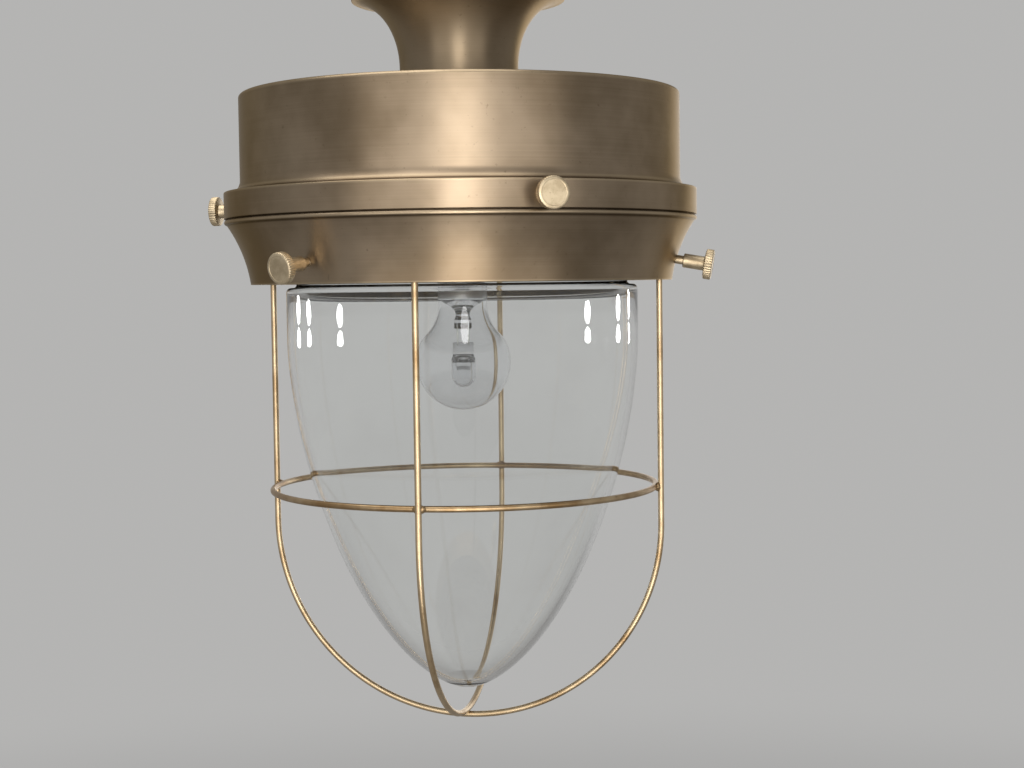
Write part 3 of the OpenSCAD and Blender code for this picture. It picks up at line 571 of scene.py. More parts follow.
def clear_glass(name, slot, tint, dusty, smear, wave):
    """Glass for the eye, and a clear sheet for rays that look for a lamp. smear is the most that dust
    roughens it, and wave the depth of its waves in metres."""
    finish = Finish(name, slot, IOR=1.5, Transmission_Weight=1.0)
    dust = finish.noise(26.0, 5.0, 0.6).smooth(0.50, 0.78)
    waves = finish.drawn(24.0, finish.z * 5.0, 1.0, 0.5)
    finish.cover(mixed(dust, tint, dusty), dust * smear, waves, wave, 0.5)
    through = add_node(finish.tree, "ShaderNodeBsdfTransparent", {}, CLEAR_SHADOW)
    add_mix(finish, add_node(finish.tree, "ShaderNodeLightPath", {}, output=1), through)


print("glass is ready")

# %% [markdown]
# The canopy is spun in one piece. An upright rim meets the ceiling, a quarter of an ellipse sweeps in to the
# waist, and a small flare spreads into the foot that stands on the drum.

# %% Canopy
CANOPY_RIM_H = 7.5
CANOPY_SWEEP_H = 38
CANOPY_SWEEP_ANGLE = 86
CANOPY_WAIST_R = 34
CANOPY_FOOT_R = 41
CANOPY_FOOT_H = 9
SHEET = 1.0

canopy_rim_r = radius_of("canopy")
canopy_foot = foot_of("canopy")
waist_top = -CANOPY_RIM_H - CANOPY_SWEEP_H
canopy_path = path_of(
    (canopy_rim_r, 0.0),
    (canopy_rim_r, -CANOPY_RIM_H),
    arc((canopy_rim_r, waist_top), CANOPY_WAIST_R - canopy_rim_r, CANOPY_SWEEP_H, CANOPY_SWEEP_ANGLE, 0, 48),
    arc((CANOPY_FOOT_R, canopy_foot + SHEET + CANOPY_FOOT_H), CANOPY_WAIST_R - CANOPY_FOOT_R,
        -CANOPY_FOOT_H, 0, 90, 18)[1:],
)
# painted highlight with rubbed brass at the foot's lower edge and where the rim ends; painted shade with patina in
# the foot's flare
antique_brass(
    "canopy_brass",
    worn_and_highlit=[(canopy_foot + 0.5, 1.0), (-CANOPY_RIM_H, 1.0)],
    patina_and_shade=[(canopy_foot + 2.4, 1.6)],
)
canopy_outline = path_of(canopy_path, beside(canopy_path, -SHEET)[::-1])
turned("canopy_spun", "canopy", canopy_outline, edge=0.22)

# %% [markdown]
# The drum is a shallow spun pan, open below. Its top edge is turned over a small radius, and near its foot
# the wall flares out to the skirt that the fitter ring slides over.

# %% Drum
DRUM_STEP = 5.8
DRUM_EDGE_R = 2.0
DRUM_SHEET = 1.2
STEM_HOLE_R = 5.3
FLARE_H = 7.0
FLARE_ANGLE = 78
SKIRT_CORNER = 0.3

drum_top = top_of("drum")
band_top = top_of("fitter_ring")
skirt_r = radius_of("drum")
drum_r = skirt_r - DRUM_STEP
drum_path = path_of(
    (STEM_HOLE_R, drum_top),
    arc((drum_r - DRUM_EDGE_R, drum_top - DRUM_EDGE_R), DRUM_EDGE_R, DRUM_EDGE_R, 90, 0, 12),
    arc((skirt_r, band_top + FLARE_H), -DRUM_STEP, -FLARE_H, 0, FLARE_ANGLE, 18),
    (skirt_r, band_top - SKIRT_CORNER),
    (skirt_r, foot_of("drum")),
)
# painted highlight with rubbed brass at the top edge and on the flare above the band; painted shade with patina in
# a thin line just above the band
drum_brass = antique_brass(
    "drum_brass",
    worn_and_highlit=[(drum_top - 0.9, 1.8), (band_top + 2.2, 1.2)],
    patina_and_shade=[(band_top + 0.4, 1.2)],
)
drum_outline = path_of(drum_path, beside(drum_path, -DRUM_SHEET)[::-1])
turned("drum_spun", "drum", drum_outline, turns=360)

# %% [markdown]
# The fitter ring is one casting turned all over: a band, a bead under it, a cove and an inward flange. The
# cove is an arc of a circle that leans in at its lower edge.

# %% Fitter ring
BAND_WALL = 3.2
BAND_H = 15
BEAD_H = 3.4
BEAD_GROOVE = 0.3
BEAD_TURN = 80
COVE_ARC_R = 80
COVE_LEAN = 8.0
COVE_WALL = 2.0
FLANGE_R = 109
FLANGE_T = 1.6
BAND_BEVEL = 0.4

bead_r = BEAD_H / 2 - BEAD_GROOVE
band_r = radius_of("fitter_ring")
cove_bottom = foot_of("fitter_ring")
band_bottom = band_top - BAND_H
cove_top = band_bottom - BEAD_H
cove_low = math.radians(COVE_LEAN)
cove_high = math.asin(math.sin(cove_low) + (cove_top - cove_bottom) / COVE_ARC_R)
cove_bottom_r = band_r - bead_r - COVE_ARC_R * (math.cos(cove_low) - math.cos(cove_high))
cove_centre = (
    cove_bottom_r + COVE_ARC_R * math.cos(cove_low),
    cove_bottom - COVE_ARC_R * math.sin(cove_low),
)
flange_top = cove_bottom + FLANGE_T
cove_back_r = COVE_ARC_R + COVE_WALL
cove_back_low = math.asin((flange_top - cove_centre[1]) / cove_back_r)
bead_z = band_bottom - BEAD_H / 2 - BEAD_GROOVE
ring_outline = path_of(
    (band_r - BAND_BEVEL, band_top),
    (band_r, band_top - BAND_BEVEL),
    (band_r, band_bottom),
    (band_r - bead_r, band_bottom - BEAD_GROOVE),
    arc((band_r - bead_r, bead_z), bead_r, bead_r, BEAD_TURN, -BEAD_TURN, 14),
    arc(cove_centre, -COVE_ARC_R, COVE_ARC_R, math.degrees(cove_high), COVE_LEAN, 36),
    (FLANGE_R, cove_bottom),
    (FLANGE_R, flange_top),
    arc(cove_centre, -cove_back_r, cove_back_r, math.degrees(cove_back_low), math.degrees(cove_high), 36),
    (band_r - BAND_WALL, band_bottom - BEAD_H / 2),
    (band_r - BAND_WALL, band_top),
)
# painted highlight with rubbed brass at the band's top edge, on the bead and at the cove's lower edge; painted
# shade with patina in the groove under the band and at the cove's top
antique_brass(
    "ring_brown",
    worn_and_highlit=[(band_top - 0.4, 1.3), (bead_z, 1.2), (cove_bottom + 0.3, 0.9)],
    patina_and_shade=[(band_bottom - 0.2, 0.8), (cove_top, 1.2)],
)
turned("fitter_ring_turned", "fitter_ring", ring_outline, turns=360, sharp=30.0, edge=0.18)
print("cove from", round(cove_top, 1), "to", round(cove_bottom, 1), "mm")

# %% [markdown]
# The glass is blown into a mould. Below an upright stretch it closes to the tip along a superellipse, which
# is blunter than a cone and slimmer than an ellipse. Above its shoulder a neck and a lip hide inside the
# ring.

# %% Glass shade
GLASS_R = 101.1
GLASS_WALL = 3.5
GLASS_TIP_WALL = 6.0
GLASS_DROP = 2.0
GLASS_NECK_R = 95
GLASS_NECK_H = 22
GLASS_UPRIGHT_H = 30
GLASS_LIP_R = 100
LIP_BEVEL = 1.0
LIP_SLOPE = 0.6
SHOULDER_R = 3.0
FILLET_R = 2.0
TAPER_POWER = 1.68
NOSE_POWER = 1.72
NOSE_R = 4
NOSE_STEP = 0.4
SWELL_RISE = 1.0
SWELL_H = 3.0

shoulder = cove_bottom - GLASS_DROP
glass_tip = foot_of("glass_shade")
lip_top = top_of("glass_shade")
lip_under = shoulder + GLASS_NECK_H
taper_top = shoulder - GLASS_UPRIGHT_H


def bullet(steps):
    """The taper: radius = R cos^(2/1.72) t and drop = H sin^(2/1.68) t, with t from 0 to a right angle."""
    t = np.radians(np.linspace(0, 90, steps + 1))
    radius = GLASS_R * np.maximum(np.cos(t), 0.0) ** (2 / NOSE_POWER)
    radius[-1] = 0.0
    return as_points(radius, taper_top - (taper_top - glass_tip) * np.sin(t) ** (2 / TAPER_POWER))


taper = bullet(120)
glass_outer = path_of(
    (GLASS_NECK_R - GLASS_WALL + LIP_BEVEL, lip_top),
    arc((GLASS_LIP_R - FILLET_R, lip_top - FILLET_R), FILLET_R, FILLET_R, 90, 0, 6),
    arc((GLASS_LIP_R - FILLET_R, lip_under + FILLET_R), FILLET_R, FILLET_R, 0, -60, 5),
    (GLASS_NECK_R, lip_under - LIP_SLOPE),
    (GLASS_NECK_R, shoulder + FILLET_R),
    arc((GLASS_NECK_R + FILLET_R, shoulder + FILLET_R), FILLET_R, FILLET_R, 200, 270, 8),
    arc((GLASS_R - SHOULDER_R, shoulder - SHOULDER_R), SHOULDER_R, SHOULDER_R, 90, 0, 14),
    taper,
)
inner_r = GLASS_R - GLASS_WALL
inner_neck_r = GLASS_NECK_R - GLASS_WALL
inner_tip = glass_tip + GLASS_TIP_WALL
inner_taper = beside(taper, -GLASS_WALL)
inner_taper = inner_taper[(inner_taper[:, 0] > NOSE_R) & (inner_taper[:, 1] > inner_tip + NOSE_STEP)]
swell = np.linspace(0, 1, 19)
inner_shoulder = as_points(
    inner_neck_r + (inner_r - inner_neck_r) * (1 - np.cos(np.pi * swell)) / 2,
    shoulder + SWELL_RISE - SWELL_H * swell,
)
glass_outline = path_of(
    (0.0, inner_tip),
    inner_taper[::-1],
    inner_shoulder[::-1],
    (inner_neck_r, lip_top - LIP_BEVEL),
    glass_outer,
)
clear_glass("shade_glass", "clear_glass", (0.985, 0.995, 0.99), (0.955, 0.96, 0.955), 0.035, 0.00012)
glass = turned("glass_blown", "glass_shade", glass_outline, turns=320, wrap_rows=False, sharp=80.0)
print("glass tip at", round(glass_tip, 1), "mm")

# %% [markdown]
# The cage is brass wire bent by hand: two hoops that cross under the glass, and a ring soldered inside them.
# Each is a circle carried along a path. The frame of the sweep needs no twist, because a hoop lies in one
# plane.

# %% Cage wires
WIRE_R = 1.75
CAGE_R = 114
CAGE_TURN = math.radians(-12.4)
WIRE_SIDES = 24
END_STEPS = (0.0, 0.3, 0.8)
END_SHARES = (0.72, 0.93)


def swept(path, radius, sideways, sides=WIRE_SIDES, wrap=False):
    """A round bar: at each point of the path stands a circle, square to the path, turned to a fixed side
    that no stretch of it runs along. The radius is one number or one for each point."""
    ahead = np.roll(path, -1, axis=0) - np.roll(path, 1, axis=0)
    if not wrap:
        ahead[0] = path[1] - path[0]
        ahead[-1] = path[-1] - path[-2]
    ahead /= np.linalg.norm(ahead, axis=1, keepdims=True)
    out = np.cross(ahead, sideways)
    out /= np.linalg.norm(out, axis=1, keepdims=True)
    across = np.cross(ahead, out)
    turn = angles(sides)[None, :, None]
    thick = np.broadcast_to(np.asarray(radius, float).reshape(-1, 1, 1), (len(path), 1, 1))
    return path[:, None, :] + thick * (np.cos(turn) * out[:, None, :] + np.sin(turn) * across[:, None, :])


def eased_ends(count):
    """The wire's radius along a hoop whose ends are filed round: the first and last rings are smaller."""
    thick = np.full(count, WIRE_R)
    thick[:2] *= END_SHARES
    thick[-2:] *= END_SHARES[::-1]
    return thick


def hoop_path(turn, top, low, steps=110):
    """Down one upright, half round and up the other, in the upright plane at an azimuth."""
    bend = low + WIRE_R + CAGE_R
    angle = np.linspace(0, np.pi, steps)
    rise = np.concatenate([top - np.array(END_STEPS), np.linspace(top - 4, bend, 20)[:-1]])
    side = np.concatenate([np.full(rise.size, -CAGE_R), -CAGE_R * np.cos(angle), np.full(rise.size, CAGE_R)])
    height = np.concatenate([rise, bend - CAGE_R * np.sin(angle), rise[::-1]])
    return as_points(side * math.cos(turn), side * math.sin(turn), height)


wire_brass("wire_brass", 0.0)
wire_brass("ring_brass", 0.14)
for side, turn in (("side", CAGE_TURN), ("front", CAGE_TURN + math.pi / 2)):
    node = "cage_hoop_" + side
    path = hoop_path(turn, top_of(node), foot_of(node))
    flat = np.array([-math.sin(turn), math.cos(turn), 0.0])
    add_piece(f"hoop_{side}_wire", node, swept(path, eased_ends(len(path)), flat))

# %% [markdown]
# The ring is a plain hoop of the same wire. Where it meets an upright, a bead of solder fills the corner.
# Solder runs along the wires before it sets, so the bead is a lumpy egg that lies along the ring.

# %% Cage ring and its solder
RING_POINTS = 240
BEAD_LONG = 3.6
BEAD_HIGH = 2.5
BEAD_DEEP = 2.1
LUMP = 0.06

ring_z = (foot_of("cage_ring") + top_of("cage_ring")) / 2
ring_mid_r = radius_of("cage_ring") - WIRE_R
UP = np.array([0.0, 0.0, 1.0])


def solder_bead(azimuth):
    """An egg with three half axes: along the ring, up and outwards. Its radius swells and shrinks by a
    sixteenth with the sines of both angles, which makes it lumpy."""
    along = np.linspace(0, np.pi, 15)[:, None]
    about = angles(20)[None, :]
    size = 1 + LUMP * np.sin(3 * along + 2 * azimuth) * np.sin(2 * about + azimuth)
    forward = BEAD_LONG * np.cos(along) * size
    rise = BEAD_HIGH * np.sin(along) * np.cos(about) * size
    out = (ring_mid_r + CAGE_R) / 2 + BEAD_DEEP * np.sin(along) * np.sin(about) * size
    return as_points(
        out * math.sin(azimuth) + forward * math.cos(azimuth),
        -out * math.cos(azimuth) + forward * math.sin(azimuth),
        ring_z + rise,
    )


ring_wire = swept(round_axis(ring_mid_r, angles(RING_POINTS), ring_z), WIRE_R, UP, wrap=True)
add_piece("cage_ring_wire", "cage_ring", ring_wire, wrap_rows=True)
beads = [solder_bead(CAGE_TURN + quarter * math.pi / 2) for quarter in range(4)]
placed(mesh_piece("ring_solder", *beads), "cage_ring", stands_in=False)
print("cage ring at", round(ring_z, 1), "mm")

# %% [markdown]
# A thumbscrew is turned from one bar: a threaded shank, a plain collar and a thin wide head with a knurled
# rim. Its axis is that of its joint, so one function makes all six where they stand. One grid does it all:
# the outline gives a radius for each row, and a row may add a knurl or a thread.

# %% Thumbscrews
SCREW_R = 2.5
SCREW_PITCH = 0.8
SCREW_THREAD = 0.30
SCREW_PLAIN = 4.0
SCREW_TIP_H = 1.2
COLLAR_R = 4.0
COLLAR_BEVEL = 0.35
HEAD_R = 8.5
HEAD_T = 4.7
HEAD_BEVEL = 0.6
KNURL = 0.35
KNURLS = 40
FACE_DISH = 0.15
FACE_RIM = 1.7
HEAD_FILLET = 0.8
ROWS_PER_TURN = 5


def helix(height, turn, pitch):
    """0 at a thread's crest and 1 in its root: (1 - cos(2 pi height / pitch - turn)) / 2."""
    return (1 - np.cos(2 * np.pi * height / pitch - turn)) / 2


def axis_of(node, joint):
    """A node's axis from its joint: the unit vectors outwards, sideways and upwards, and the centre of the
    node's outline as a foot point of the axis at zero."""
    out = np.array(joint["axis"], float)
    out /= np.linalg.norm(out)
    side = np.cross(UP, out)
    side /= np.linalg.norm(side)
    tall = np.cross(out, side)
    points = np.array([vertex.co for vertex in frame["nodes"][node].data.vertices]) / MM
    foot = sum(line * (np.max(points @ line) + np.min(points @ line)) / 2 for line in (side, tall))
    return out, side, tall, foot, np.min(points @ out), np.max(points @ out)


def screw_rows(length, collar_l):
    """The outline from the tip to the face: distance, radius, depth of thread and depth of knurl."""
    head = length - HEAD_T
    collar = head - collar_l
    rim_r = HEAD_R - KNURL - HEAD_BEVEL
    rim_mid_r = HEAD_R - KNURL * 0.9
    shank = np.arange(SCREW_TIP_H, collar - SCREW_PLAIN, SCREW_PITCH / ROWS_PER_TURN)
    outline = path_of(
        (0, 0),
        (0, SCREW_R - 1.0),
        as_points(shank, SCREW_R),
        (collar - SCREW_PLAIN + 0.3, SCREW_R),
        (collar, SCREW_R),
        (collar, COLLAR_R - COLLAR_BEVEL),
        (collar + COLLAR_BEVEL, COLLAR_R),
        (head - HEAD_FILLET, COLLAR_R),
        (head - 0.25, COLLAR_R + 0.2),
        (head, COLLAR_R + HEAD_FILLET),
        (head, rim_r),
        (head + HEAD_BEVEL * 0.5, rim_mid_r),
        (head + HEAD_BEVEL, HEAD_R),
        (length - HEAD_BEVEL, HEAD_R),
        (length - HEAD_BEVEL * 0.5, rim_mid_r),
        (length, rim_r),
        (length, HEAD_R - FACE_RIM),
        (length - FACE_DISH, HEAD_R - FACE_RIM - 0.25),
        (length - FACE_DISH, 0),
    )
    distance, radius = outline[:, :1], outline[:, 1:]
    thread = np.zeros_like(radius)
    thread[2:2 + shank.size] = SCREW_THREAD
    return distance, radius, thread, KNURL * (radius == HEAD_R)


def thumbscrew(name, node, joint, collar_l, columns=200):
    """Round the joint's axis, radius = outline - knurl (1 - cos(40 turn)) / 2 - thread x helix."""
    out, side, tall, foot, near_end, far_end = axis_of(node, joint)
    distance, radius, thread, knurl = screw_rows(far_end - near_end, collar_l)
    turn = angles(columns)[None, :]
    radius = radius - knurl * (1 - np.cos(KNURLS * turn)) / 2 - thread * helix(distance, turn, SCREW_PITCH)
    grid = foot + (distance + near_end)[..., None] * out + (radius * np.cos(turn))[..., None] * side
    grid = grid + (radius * np.sin(turn))[..., None] * tall
    add_piece(name, node, grid, sharp=30.0)


UPPER_COLLAR = 10.2
LOWER_COLLAR = 12.0
screw_brass()
for joint in frame["joints"]:
    row, _, number = joint["child"].partition("_knob_")
    if number:
        collar = UPPER_COLLAR if row == "upper" else LOWER_COLLAR
        thumbscrew(f"{row}_thumbscrew_{number}", f"{row}_screw_{number}", joint, collar)

# %% [markdown]
# The bulb is a clear household bulb with a halogen capsule inside. Its envelope is one thin shell: the
# globe's circle runs into the neck along an arc that touches both. The neck ends in the aluminium cap.

# %% Bulb envelope
BULB_R = 27.5
BULB_NECK_R = 14.2
BULB_WALL = 0.8
NECK_BLEND_R = 30
CAP_COLLAR_H = 5.5
SEAT = 0.05

bulb_top = top_of("bulb_contact")
cap_bottom = foot_of("bulb_cap")
bulb_bottom = foot_of("bulb_envelope")
globe_z = bulb_bottom + BULB_R
blend_rise = math.sqrt((BULB_R + NECK_BLEND_R) ** 2 - (BULB_NECK_R + NECK_BLEND_R) ** 2)
blend_angle = math.degrees(math.asin(blend_rise / (BULB_R + NECK_BLEND_R)))
blend_centre = (BULB_NECK_R + NECK_BLEND_R, globe_z + blend_rise)
bulb_path = path_of(
    (BULB_NECK_R, cap_bottom - SEAT),
    arc(blend_centre, NECK_BLEND_R, NECK_BLEND_R, 180, 180 + blend_angle, 20),
    arc((0.0, globe_z), BULB_R, BULB_R, blend_angle - 2, -90, 60),
)
bulb_path[-1, 0] = 0.0
bulb_inside = beside(bulb_path, -BULB_WALL)
bulb_inside[-1] = (0.0, bulb_bottom + BULB_WALL)
clear_glass("bulb_glass", "bulb_glass", (0.985, 0.99, 1.0), (0.93, 0.935, 0.94), 0.06, 0.00002)
bulb_outline = path_of(bulb_inside[::-1], bulb_path)
envelope = turned("bulb_globe", "bulb_envelope", bulb_outline, turns=128, wrap_rows=False, sharp=80.0)

# %% [markdown]
# The cap is pressed from thin aluminium, and its thread is rolled in: round crests and round hollows that
# climb as a helix. The same sheet shows inside, so the shell is the outer face and a copy of it moved in by
# the wall.

# %% Bulb cap
CAP_R = 13.2
CAP_WALL = 0.4
CAP_PITCH = 3.6
CAP_SWELL = 1.0
CAP_STEP = 1.0
CAP_TURNS = 4
CROWN_R = 9.2
INSULATOR_H = 2.5

collar_top = cap_bottom + CAP_COLLAR_H
thread_low = collar_top + CAP_STEP
thread_high = thread_low + CAP_PITCH * CAP_TURNS
cap_shoulder = bulb_top - INSULATOR_H


def cap_face(inset, columns=96):
    """The outer face, moved in by an inset. Between the collar and the crown the radius is CAP_R less a
    helix that fades in and out over a quarter of its pitch at both ends."""
    turn = angles(columns)[None, :]
    level = np.linspace(thread_low, thread_high, 72)[:, None]
    ends = np.minimum(level - thread_low, thread_high - level)
    fade = np.clip(ends / (CAP_PITCH / 4), 0, 1)
    ridge = CAP_R - inset - CAP_SWELL * (1 - fade * (1 - helix(level, turn, CAP_PITCH)))
    low = np.array([
        (BULB_NECK_R - inset, cap_bottom),
        (BULB_NECK_R - inset, collar_top - CAP_STEP),
        (BULB_NECK_R - 0.3 - inset, collar_top - 0.4),
        (CAP_R - CAP_SWELL - inset, collar_top),
    ])
    high = np.array([
        (CAP_R - 1.6 - inset, cap_shoulder - CAP_STEP - inset),
        (CROWN_R - inset, cap_shoulder - inset),
    ])
    radius = np.vstack([np.tile(low[:, :1], columns), ridge, np.tile(high[:, :1], columns)])
    return round_axis(radius, turn, np.vstack([low[:, 1:], level, high[:, 1:]]))


def brushed_aluminium():
    """Pressed sheet, brushed round the cap: the marks change along the axis and hardly round it."""
    finish = Finish("cap_aluminium", Metallic=1.0)
    marks = finish.drawn(60.0, finish.z * 1800.0)
    colour = mixed(marks, (0.60, 0.60, 0.60), (0.80, 0.80, 0.79))
    finish.cover(colour, 0.26 + marks * 0.16, marks, 0.00003, 0.3)


brushed_aluminium()
cap_shell = np.concatenate([cap_face(0.0), cap_face(CAP_WALL)[::-1]])
add_piece("bulb_screw_cap", "bulb_cap", cap_shell, wrap_rows=True, sharp=50.0)

# %% [markdown]
# Inside the globe a flared glass stem ends in a flat pinch that grips two support wires. They carry a small
# quartz capsule, which has a pinch of its own. A tube that is squeezed flat keeps its volume: its section
# goes from a circle to a rounded bar. A superellipse has both shapes, so one loft makes the stem and the
# capsule.

# %% Stem and capsule
STEM_H = 20
STEM_R = 4
STEM_FLARE_R = 13.2
STEM_FLARE_POWER = 2.2
STEM_RIM = 1.0
STEM_PINCH = (5.0, 1.8, 7.0)
CAPSULE_PINCH = (6.0, 2.0, 7.0)
CAPSULE_R = 7
CAPSULE_WALL = 1.0
CAPSULE_NECK_DROP = 1.5
HOLLOW_DOME = 0.6
SQUEEZE_H = 3.0
PINCH_EDGE = 0.4
ROUND_POWER = 2.0
FLAT_POWER = 6.0


def lofted(rows, columns=72):
    """Superellipses, |x / a|^n + |y / b|^n = 1, from rows of a level, a, b and n. In the angle t,
    x = a |cos t|^(2/n) and y = b |sin t|^(2/n), with the signs of the cosine and the sine."""
    level, half_x, half_y, power = (rows[:, [column]] for column in range(4))
    t = angles(columns)[None, :]
    x = half_x * np.sign(np.cos(t)) * np.abs(np.cos(t)) ** (2 / power)
    y = half_y * np.sign(np.sin(t)) * np.abs(np.sin(t)) ** (2 / power)
    return as_points(x, y, level)


def round_rows(levels, radii):
    """Rows of circles for a loft."""
    return as_points(levels, radii, radii, ROUND_POWER)


def squeezed(levels, share, round_r, pinch):
    """Rows of a tube of round_r on its way to a pinch, by an S-shaped share."""
    ease = share * share * (3 - 2 * share)
    half_x = round_r + (pinch[0] - round_r) * ease
    half_y = round_r + (pinch[1] - round_r) * ease
    return as_points(levels, half_x, half_y, ROUND_POWER + (FLAT_POWER - ROUND_POWER) * ease)


stem_top = top_of("bulb_stem")
stem_end = foot_of("bulb_stem")
flare_t = np.linspace(0, 1, 22)
flare_r = STEM_R + (STEM_FLARE_R - STEM_R) * (1 - flare_t) ** STEM_FLARE_POWER
flare_level = stem_top - STEM_RIM - (STEM_H - STEM_PINCH[2] - SQUEEZE_H) * flare_t
pinch_t = np.linspace(0, 1, 12)[1:]
stem_rows = path_of(
    (stem_top, STEM_FLARE_R, STEM_FLARE_R, ROUND_POWER),
    round_rows(flare_level, flare_r),
    squeezed(flare_level[-1] - SQUEEZE_H * pinch_t, pinch_t, STEM_R, STEM_PINCH),
    (stem_end + PINCH_EDGE, *STEM_PINCH[:2], FLAT_POWER),
    (stem_end, STEM_PINCH[0] * 0.93, STEM_PINCH[1] * 0.80, FLAT_POWER),
)
stem = add_piece("bulb_glass_stem", "bulb_stem", lofted(stem_rows), sharp=60.0)

# %% [markdown]
# The capsule is hollow. Its hollow is a shell of its own with its faces turned the other way, so that light
# bends once going into the quartz and once coming out on the inside.

# %% Capsule
capsule_top = top_of("bulb_capsule")
capsule_foot = foot_of("bulb_capsule")


def capsule_rows(radius, foot, tube_top, steps=16):
    """A round end, a quarter of a circle from the foot up, and the tube above it, as levels and radii."""
    bend = np.linspace(0, np.pi / 2, steps)
    levels = np.concatenate([foot + radius * (1 - np.cos(bend)), [tube_top]])
    return levels, np.concatenate([radius * np.sin(bend), [radius]])


pinch_foot = capsule_top - CAPSULE_PINCH[2]
squeeze_foot = pinch_foot - SQUEEZE_H
capsule_shape = path_of(
    round_rows(*capsule_rows(CAPSULE_R, capsule_foot, squeeze_foot)),
    squeezed(squeeze_foot + SQUEEZE_H * pinch_t, pinch_t, CAPSULE_R, CAPSULE_PINCH),
    (capsule_top - PINCH_EDGE, *CAPSULE_PINCH[:2], FLAT_POWER),
    (capsule_top, CAPSULE_PINCH[0] * 0.94, CAPSULE_PINCH[1] * 0.80, FLAT_POWER),
)
hollow_r = CAPSULE_R - CAPSULE_WALL
hollow_top = squeeze_foot - CAPSULE_NECK_DROP
dome_levels, dome_radii = capsule_rows(hollow_r, 0.0, 0.0, 8)
hollow_shape = path_of(
    round_rows(*capsule_rows(hollow_r, capsule_foot + CAPSULE_WALL, hollow_top)),
    round_rows(hollow_top + HOLLOW_DOME * (dome_levels[-3] - dome_levels[-3::-1]), dome_radii[-3::-1]),
)
capsule = add_piece(
    "bulb_quartz_capsule", "bulb_capsule", lofted(capsule_shape), hollow=lofted(hollow_shape), sharp=60.0
)

# %% [markdown]
# The filament is a coil of tungsten between two legs, which are held in the capsule's pinch. It is one bar
# carried along a path, as the cage's wires are, only much thinner.

# %% Filament
COIL_TURNS = 9
COIL_R = 1.1
COIL_L = 8
COIL_WIRE_R = 0.18
COIL_DROP = 15
COIL_STEPS = 18
COIL_SIDE = (0.02, 0.01, 1.0)
SUPPORT_X = 3.2
LEG_TOP = 8.05
LEG_OUT = 0.6
LEG_RISE = 2.0

coil_z = capsule_top - COIL_DROP
coil_turn = np.linspace(0, 2 * np.pi * COIL_TURNS, COIL_TURNS * COIL_STEPS + 1)
coil_x = COIL_L * (coil_turn / coil_turn[-1] - 0.5)
coil = as_points(coil_x, COIL_R * np.sin(coil_turn), coil_z + COIL_R * np.cos(coil_turn))
leg = np.array([(COIL_L / 2 + LEG_OUT, 0, coil_z + LEG_RISE), (SUPPORT_X, 0, capsule_top - LEG_TOP)])


def plain_metal(name, first, second, rough):
    """Sheet or turned metal with a cloudy surface."""
    finish = Finish(name, Metallic=1.0)
    cloud = finish.noise(220.0, 4.0, 0.6)
    colour = mixed(cloud.smooth(0.3, 0.7), first, second)
    finish.cover(colour, rough + cloud * 0.15, cloud, 0.00003, 0.3)


plain_metal("tungsten", (0.24, 0.24, 0.25), (0.36, 0.36, 0.37), 0.35)
coil_wire = swept(path_of(leg[::-1] * (-1, 1, 1), coil, leg), COIL_WIRE_R, COIL_SIDE, 8)
add_piece("bulb_filament_coil", "bulb_filament", coil_wire)

# %% [markdown]
# The two leads run from the terminal block over the bracket and down the threaded tube to the lampholder, through
# a few listed points. A lead keeps an even bend between them when they are joined by a Catmull-Rom curve: each
# stretch is the cubic that passes both of its points with the slope of the line between their neighbours.

# %% Leads
LEAD_R = 0.9
LEAD_STEPS = 10
LEAD_X = 1.05
LEAD_SIDE = (1.0, 0.02, 0.01)


def smooth_route(points, steps):
    """A Catmull-Rom curve through the points, whose ends are doubled to give the first and last slopes."""
    knots = np.vstack([points[:1], points, points[-1:]])
    share = (np.arange(steps) / steps)[None, :, None]
    a, b, c, d = (knots[i:len(knots) - 3 + i, None, :] for i in range(4))
    curve = 0.5 * (2 * b + (c - a) * share + (2 * a - 5 * b + 4 * c - d) * share ** 2
                   + (3 * b - a - 3 * c + d) * share ** 3)
    return np.vstack([curve.reshape(-1, 3), points[-1:]])


insert_top = top_of("holder_insert")
tube_foot = foot_of("stem_tube")
tube_top = top_of("stem_tube")
clamp_z = (foot_of("terminal_clamps") + top_of("terminal_clamps")) / 2
clamp_x = radius_of("terminal_clamps") - 2.0
clamp_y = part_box("terminal_clamps")[1].y / MM + 1.0
lead_points = np.array([
    (8, 0, insert_top - 0.8), (8, 0, insert_top + 0.8), (7.9, 0, insert_top + 2), (5, 0, tube_foot - 3),
    (LEAD_X + 0.3, 0, tube_foot - 0.5), (LEAD_X, 0, tube_foot + 3), (LEAD_X, 0, (tube_foot + tube_top) / 2),
    (LEAD_X, 0, tube_top - 2), (LEAD_X + 0.6, 1, tube_top + 3), (3.4, 6, -3.6), (4.2, 14, -3.4),
    (clamp_x, 24, -5), (clamp_x, 30, -10), (clamp_x, 31, -16),
    (clamp_x, clamp_y + 2.5, clamp_z - 0.2), (clamp_x, clamp_y, clamp_z),
])


def plain_moulding(name, first, second, rough):
    """Moulded plastic, glass or porcelain with a faint mottle."""
    finish = Finish(name)
    cloud = finish.noise(300.0, 3.0, 0.5)
    finish.cover(mixed(cloud, first, second), rough + cloud * 0.1, cloud, 0.00004, 0.25)


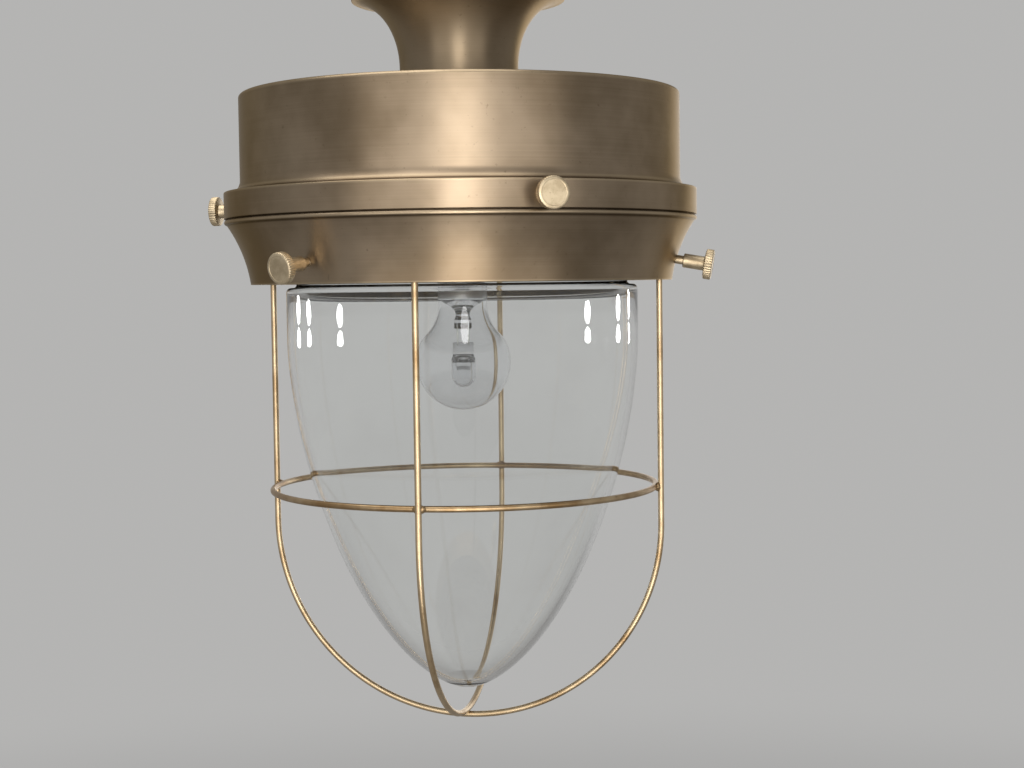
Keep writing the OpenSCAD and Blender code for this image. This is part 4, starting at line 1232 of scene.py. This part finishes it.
for look in (
    ("brown_sleeve", (0.10, 0.05, 0.025), (0.14, 0.07, 0.035), 0.4),
    ("blue_sleeve", (0.03, 0.10, 0.32), (0.04, 0.13, 0.38), 0.4),
    ("black_glass", (0.012, 0.011, 0.012), (0.02, 0.018, 0.02), 0.18),
    ("black_phenolic", (0.018, 0.014, 0.012), (0.03, 0.024, 0.02), 0.32),
    ("white_ceramic", (0.74, 0.73, 0.69), (0.80, 0.79, 0.75), 0.25),
    ("white_plastic", (0.72, 0.71, 0.68), (0.78, 0.77, 0.74), 0.35),
):
    plain_moulding(*look)
lead_route = smooth_route(lead_points, LEAD_STEPS)
for name, node, mirror in (("lead_live", "live_lead", -1), ("lead_neutral", "neutral_lead", 1)):
    add_piece(name, node, swept(lead_route * (mirror, 1, 1), LEAD_R, LEAD_SIDE, 16))

# %% [markdown]
# The tube that carries everything is threaded from end to end, as such lamp tubes are. The lampholder's
# shell has the rolled thread that the bulb's cap turns in. Both are thin walls: one face with a helix and
# one behind it.

# %% Threaded tube and shell
TUBE_PITCH = 1.0
TUBE_THREAD = 0.35
TUBE_BORE_R = 4.0
SHELL_THREAD = 0.3
SHELL_WALL = 0.3


def threaded(name, node, pitch, depth, rows_per_turn, columns, bore=None):
    """A tube as tall as its node. Outside, radius = R - depth x helix. Inside is a plain bore, or the same
    thread where the tube is pressed from sheet."""
    low, high = foot_of(node), top_of(node)
    turn = angles(columns)[None, :]
    level = np.linspace(low, high, round((high - low) / pitch * rows_per_turn))[:, None]
    face = radius_of(node) - depth * helix(level, turn, pitch)
    back = np.full_like(face, bore) if bore else face - SHELL_WALL
    grid = round_axis(np.concatenate([face, back[::-1]]), turn, np.concatenate([level, level[::-1]]))
    add_piece(name, node, grid, wrap_rows=True, sharp=50.0)


plain_metal("zinc_steel", (0.46, 0.46, 0.44), (0.62, 0.62, 0.60), 0.28)
threaded("tube_threaded", "stem_tube", TUBE_PITCH, TUBE_THREAD, 6, 36, TUBE_BORE_R)
threaded("holder_thread_shell", "thread_shell", CAP_PITCH, SHELL_THREAD, 14, 96)

# %% [markdown]
# The small hardware is already right in the frame, but its mesh is loose triangles with razor edges. A copy
# is merged, its flat faces are joined, and a bevel rounds its edges, as stamping, moulding and turning leave
# them. Its brass is the drum's.

# %% Small hardware
MERGE = 2e-6
FLAT = 0.5
EDGE_SHARE = 0.045
EDGE_MOST = 0.30


def eased(node):
    """A copy of a node with its doubles merged, its flat faces joined and its edges rounded."""
    mesh = frame["nodes"][node].data.copy()
    work = bmesh.new()
    work.from_mesh(mesh)
    bmesh.ops.remove_doubles(work, verts=work.verts, dist=MERGE)
    bmesh.ops.dissolve_limit(work, angle_limit=math.radians(FLAT), verts=work.verts, edges=work.edges)
    write_mesh(work, mesh, 30)
    mesh.materials.clear()
    piece = add_object(node + "_finished", mesh)
    low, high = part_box(node)
    softened(piece, min(EDGE_MOST, EDGE_SHARE * min(high - low) / MM))
    return piece


FINISHES["antique_brass"] = drum_brass
for node, thing in frame["nodes"].items():
    thing.data.materials.clear()
    thing.data.materials.append(FINISHES[SLOT_OF[node]])
for node in BODY_OF:
    if not frame["nodes"][node].hide_render:
        placed(eased(node), node)

# %% [markdown]
# Light linking needs the pieces, so it comes last. The streak lamps shine on the shade and the bulb alone.
# The two key lamps leave out the shade and the floor, the panels all clear pieces and the floor, and the lamp
# overhead the clear pieces.

# %% Light linking
clear_pieces = (glass, envelope, stem, capsule)
for group, members, names in (
    ("all_but_shade", (glass, floor), ("key", "low_key")),
    ("all_but_glass", clear_pieces, ("overhead",)),
    ("all_but_both", (floor, *clear_pieces), ("left_panel", "right_panel", "back_panel")),
):
    left_out = bpy.data.collections.new(group)
    for member in members:
        left_out.objects.link(member)
    for member in left_out.collection_objects:
        member.light_linking.link_state = "EXCLUDE"
    for name in names:
        lamps[name].light_linking.receiver_collection = left_out
glass_only.objects.link(glass)
glass_only.objects.link(envelope)
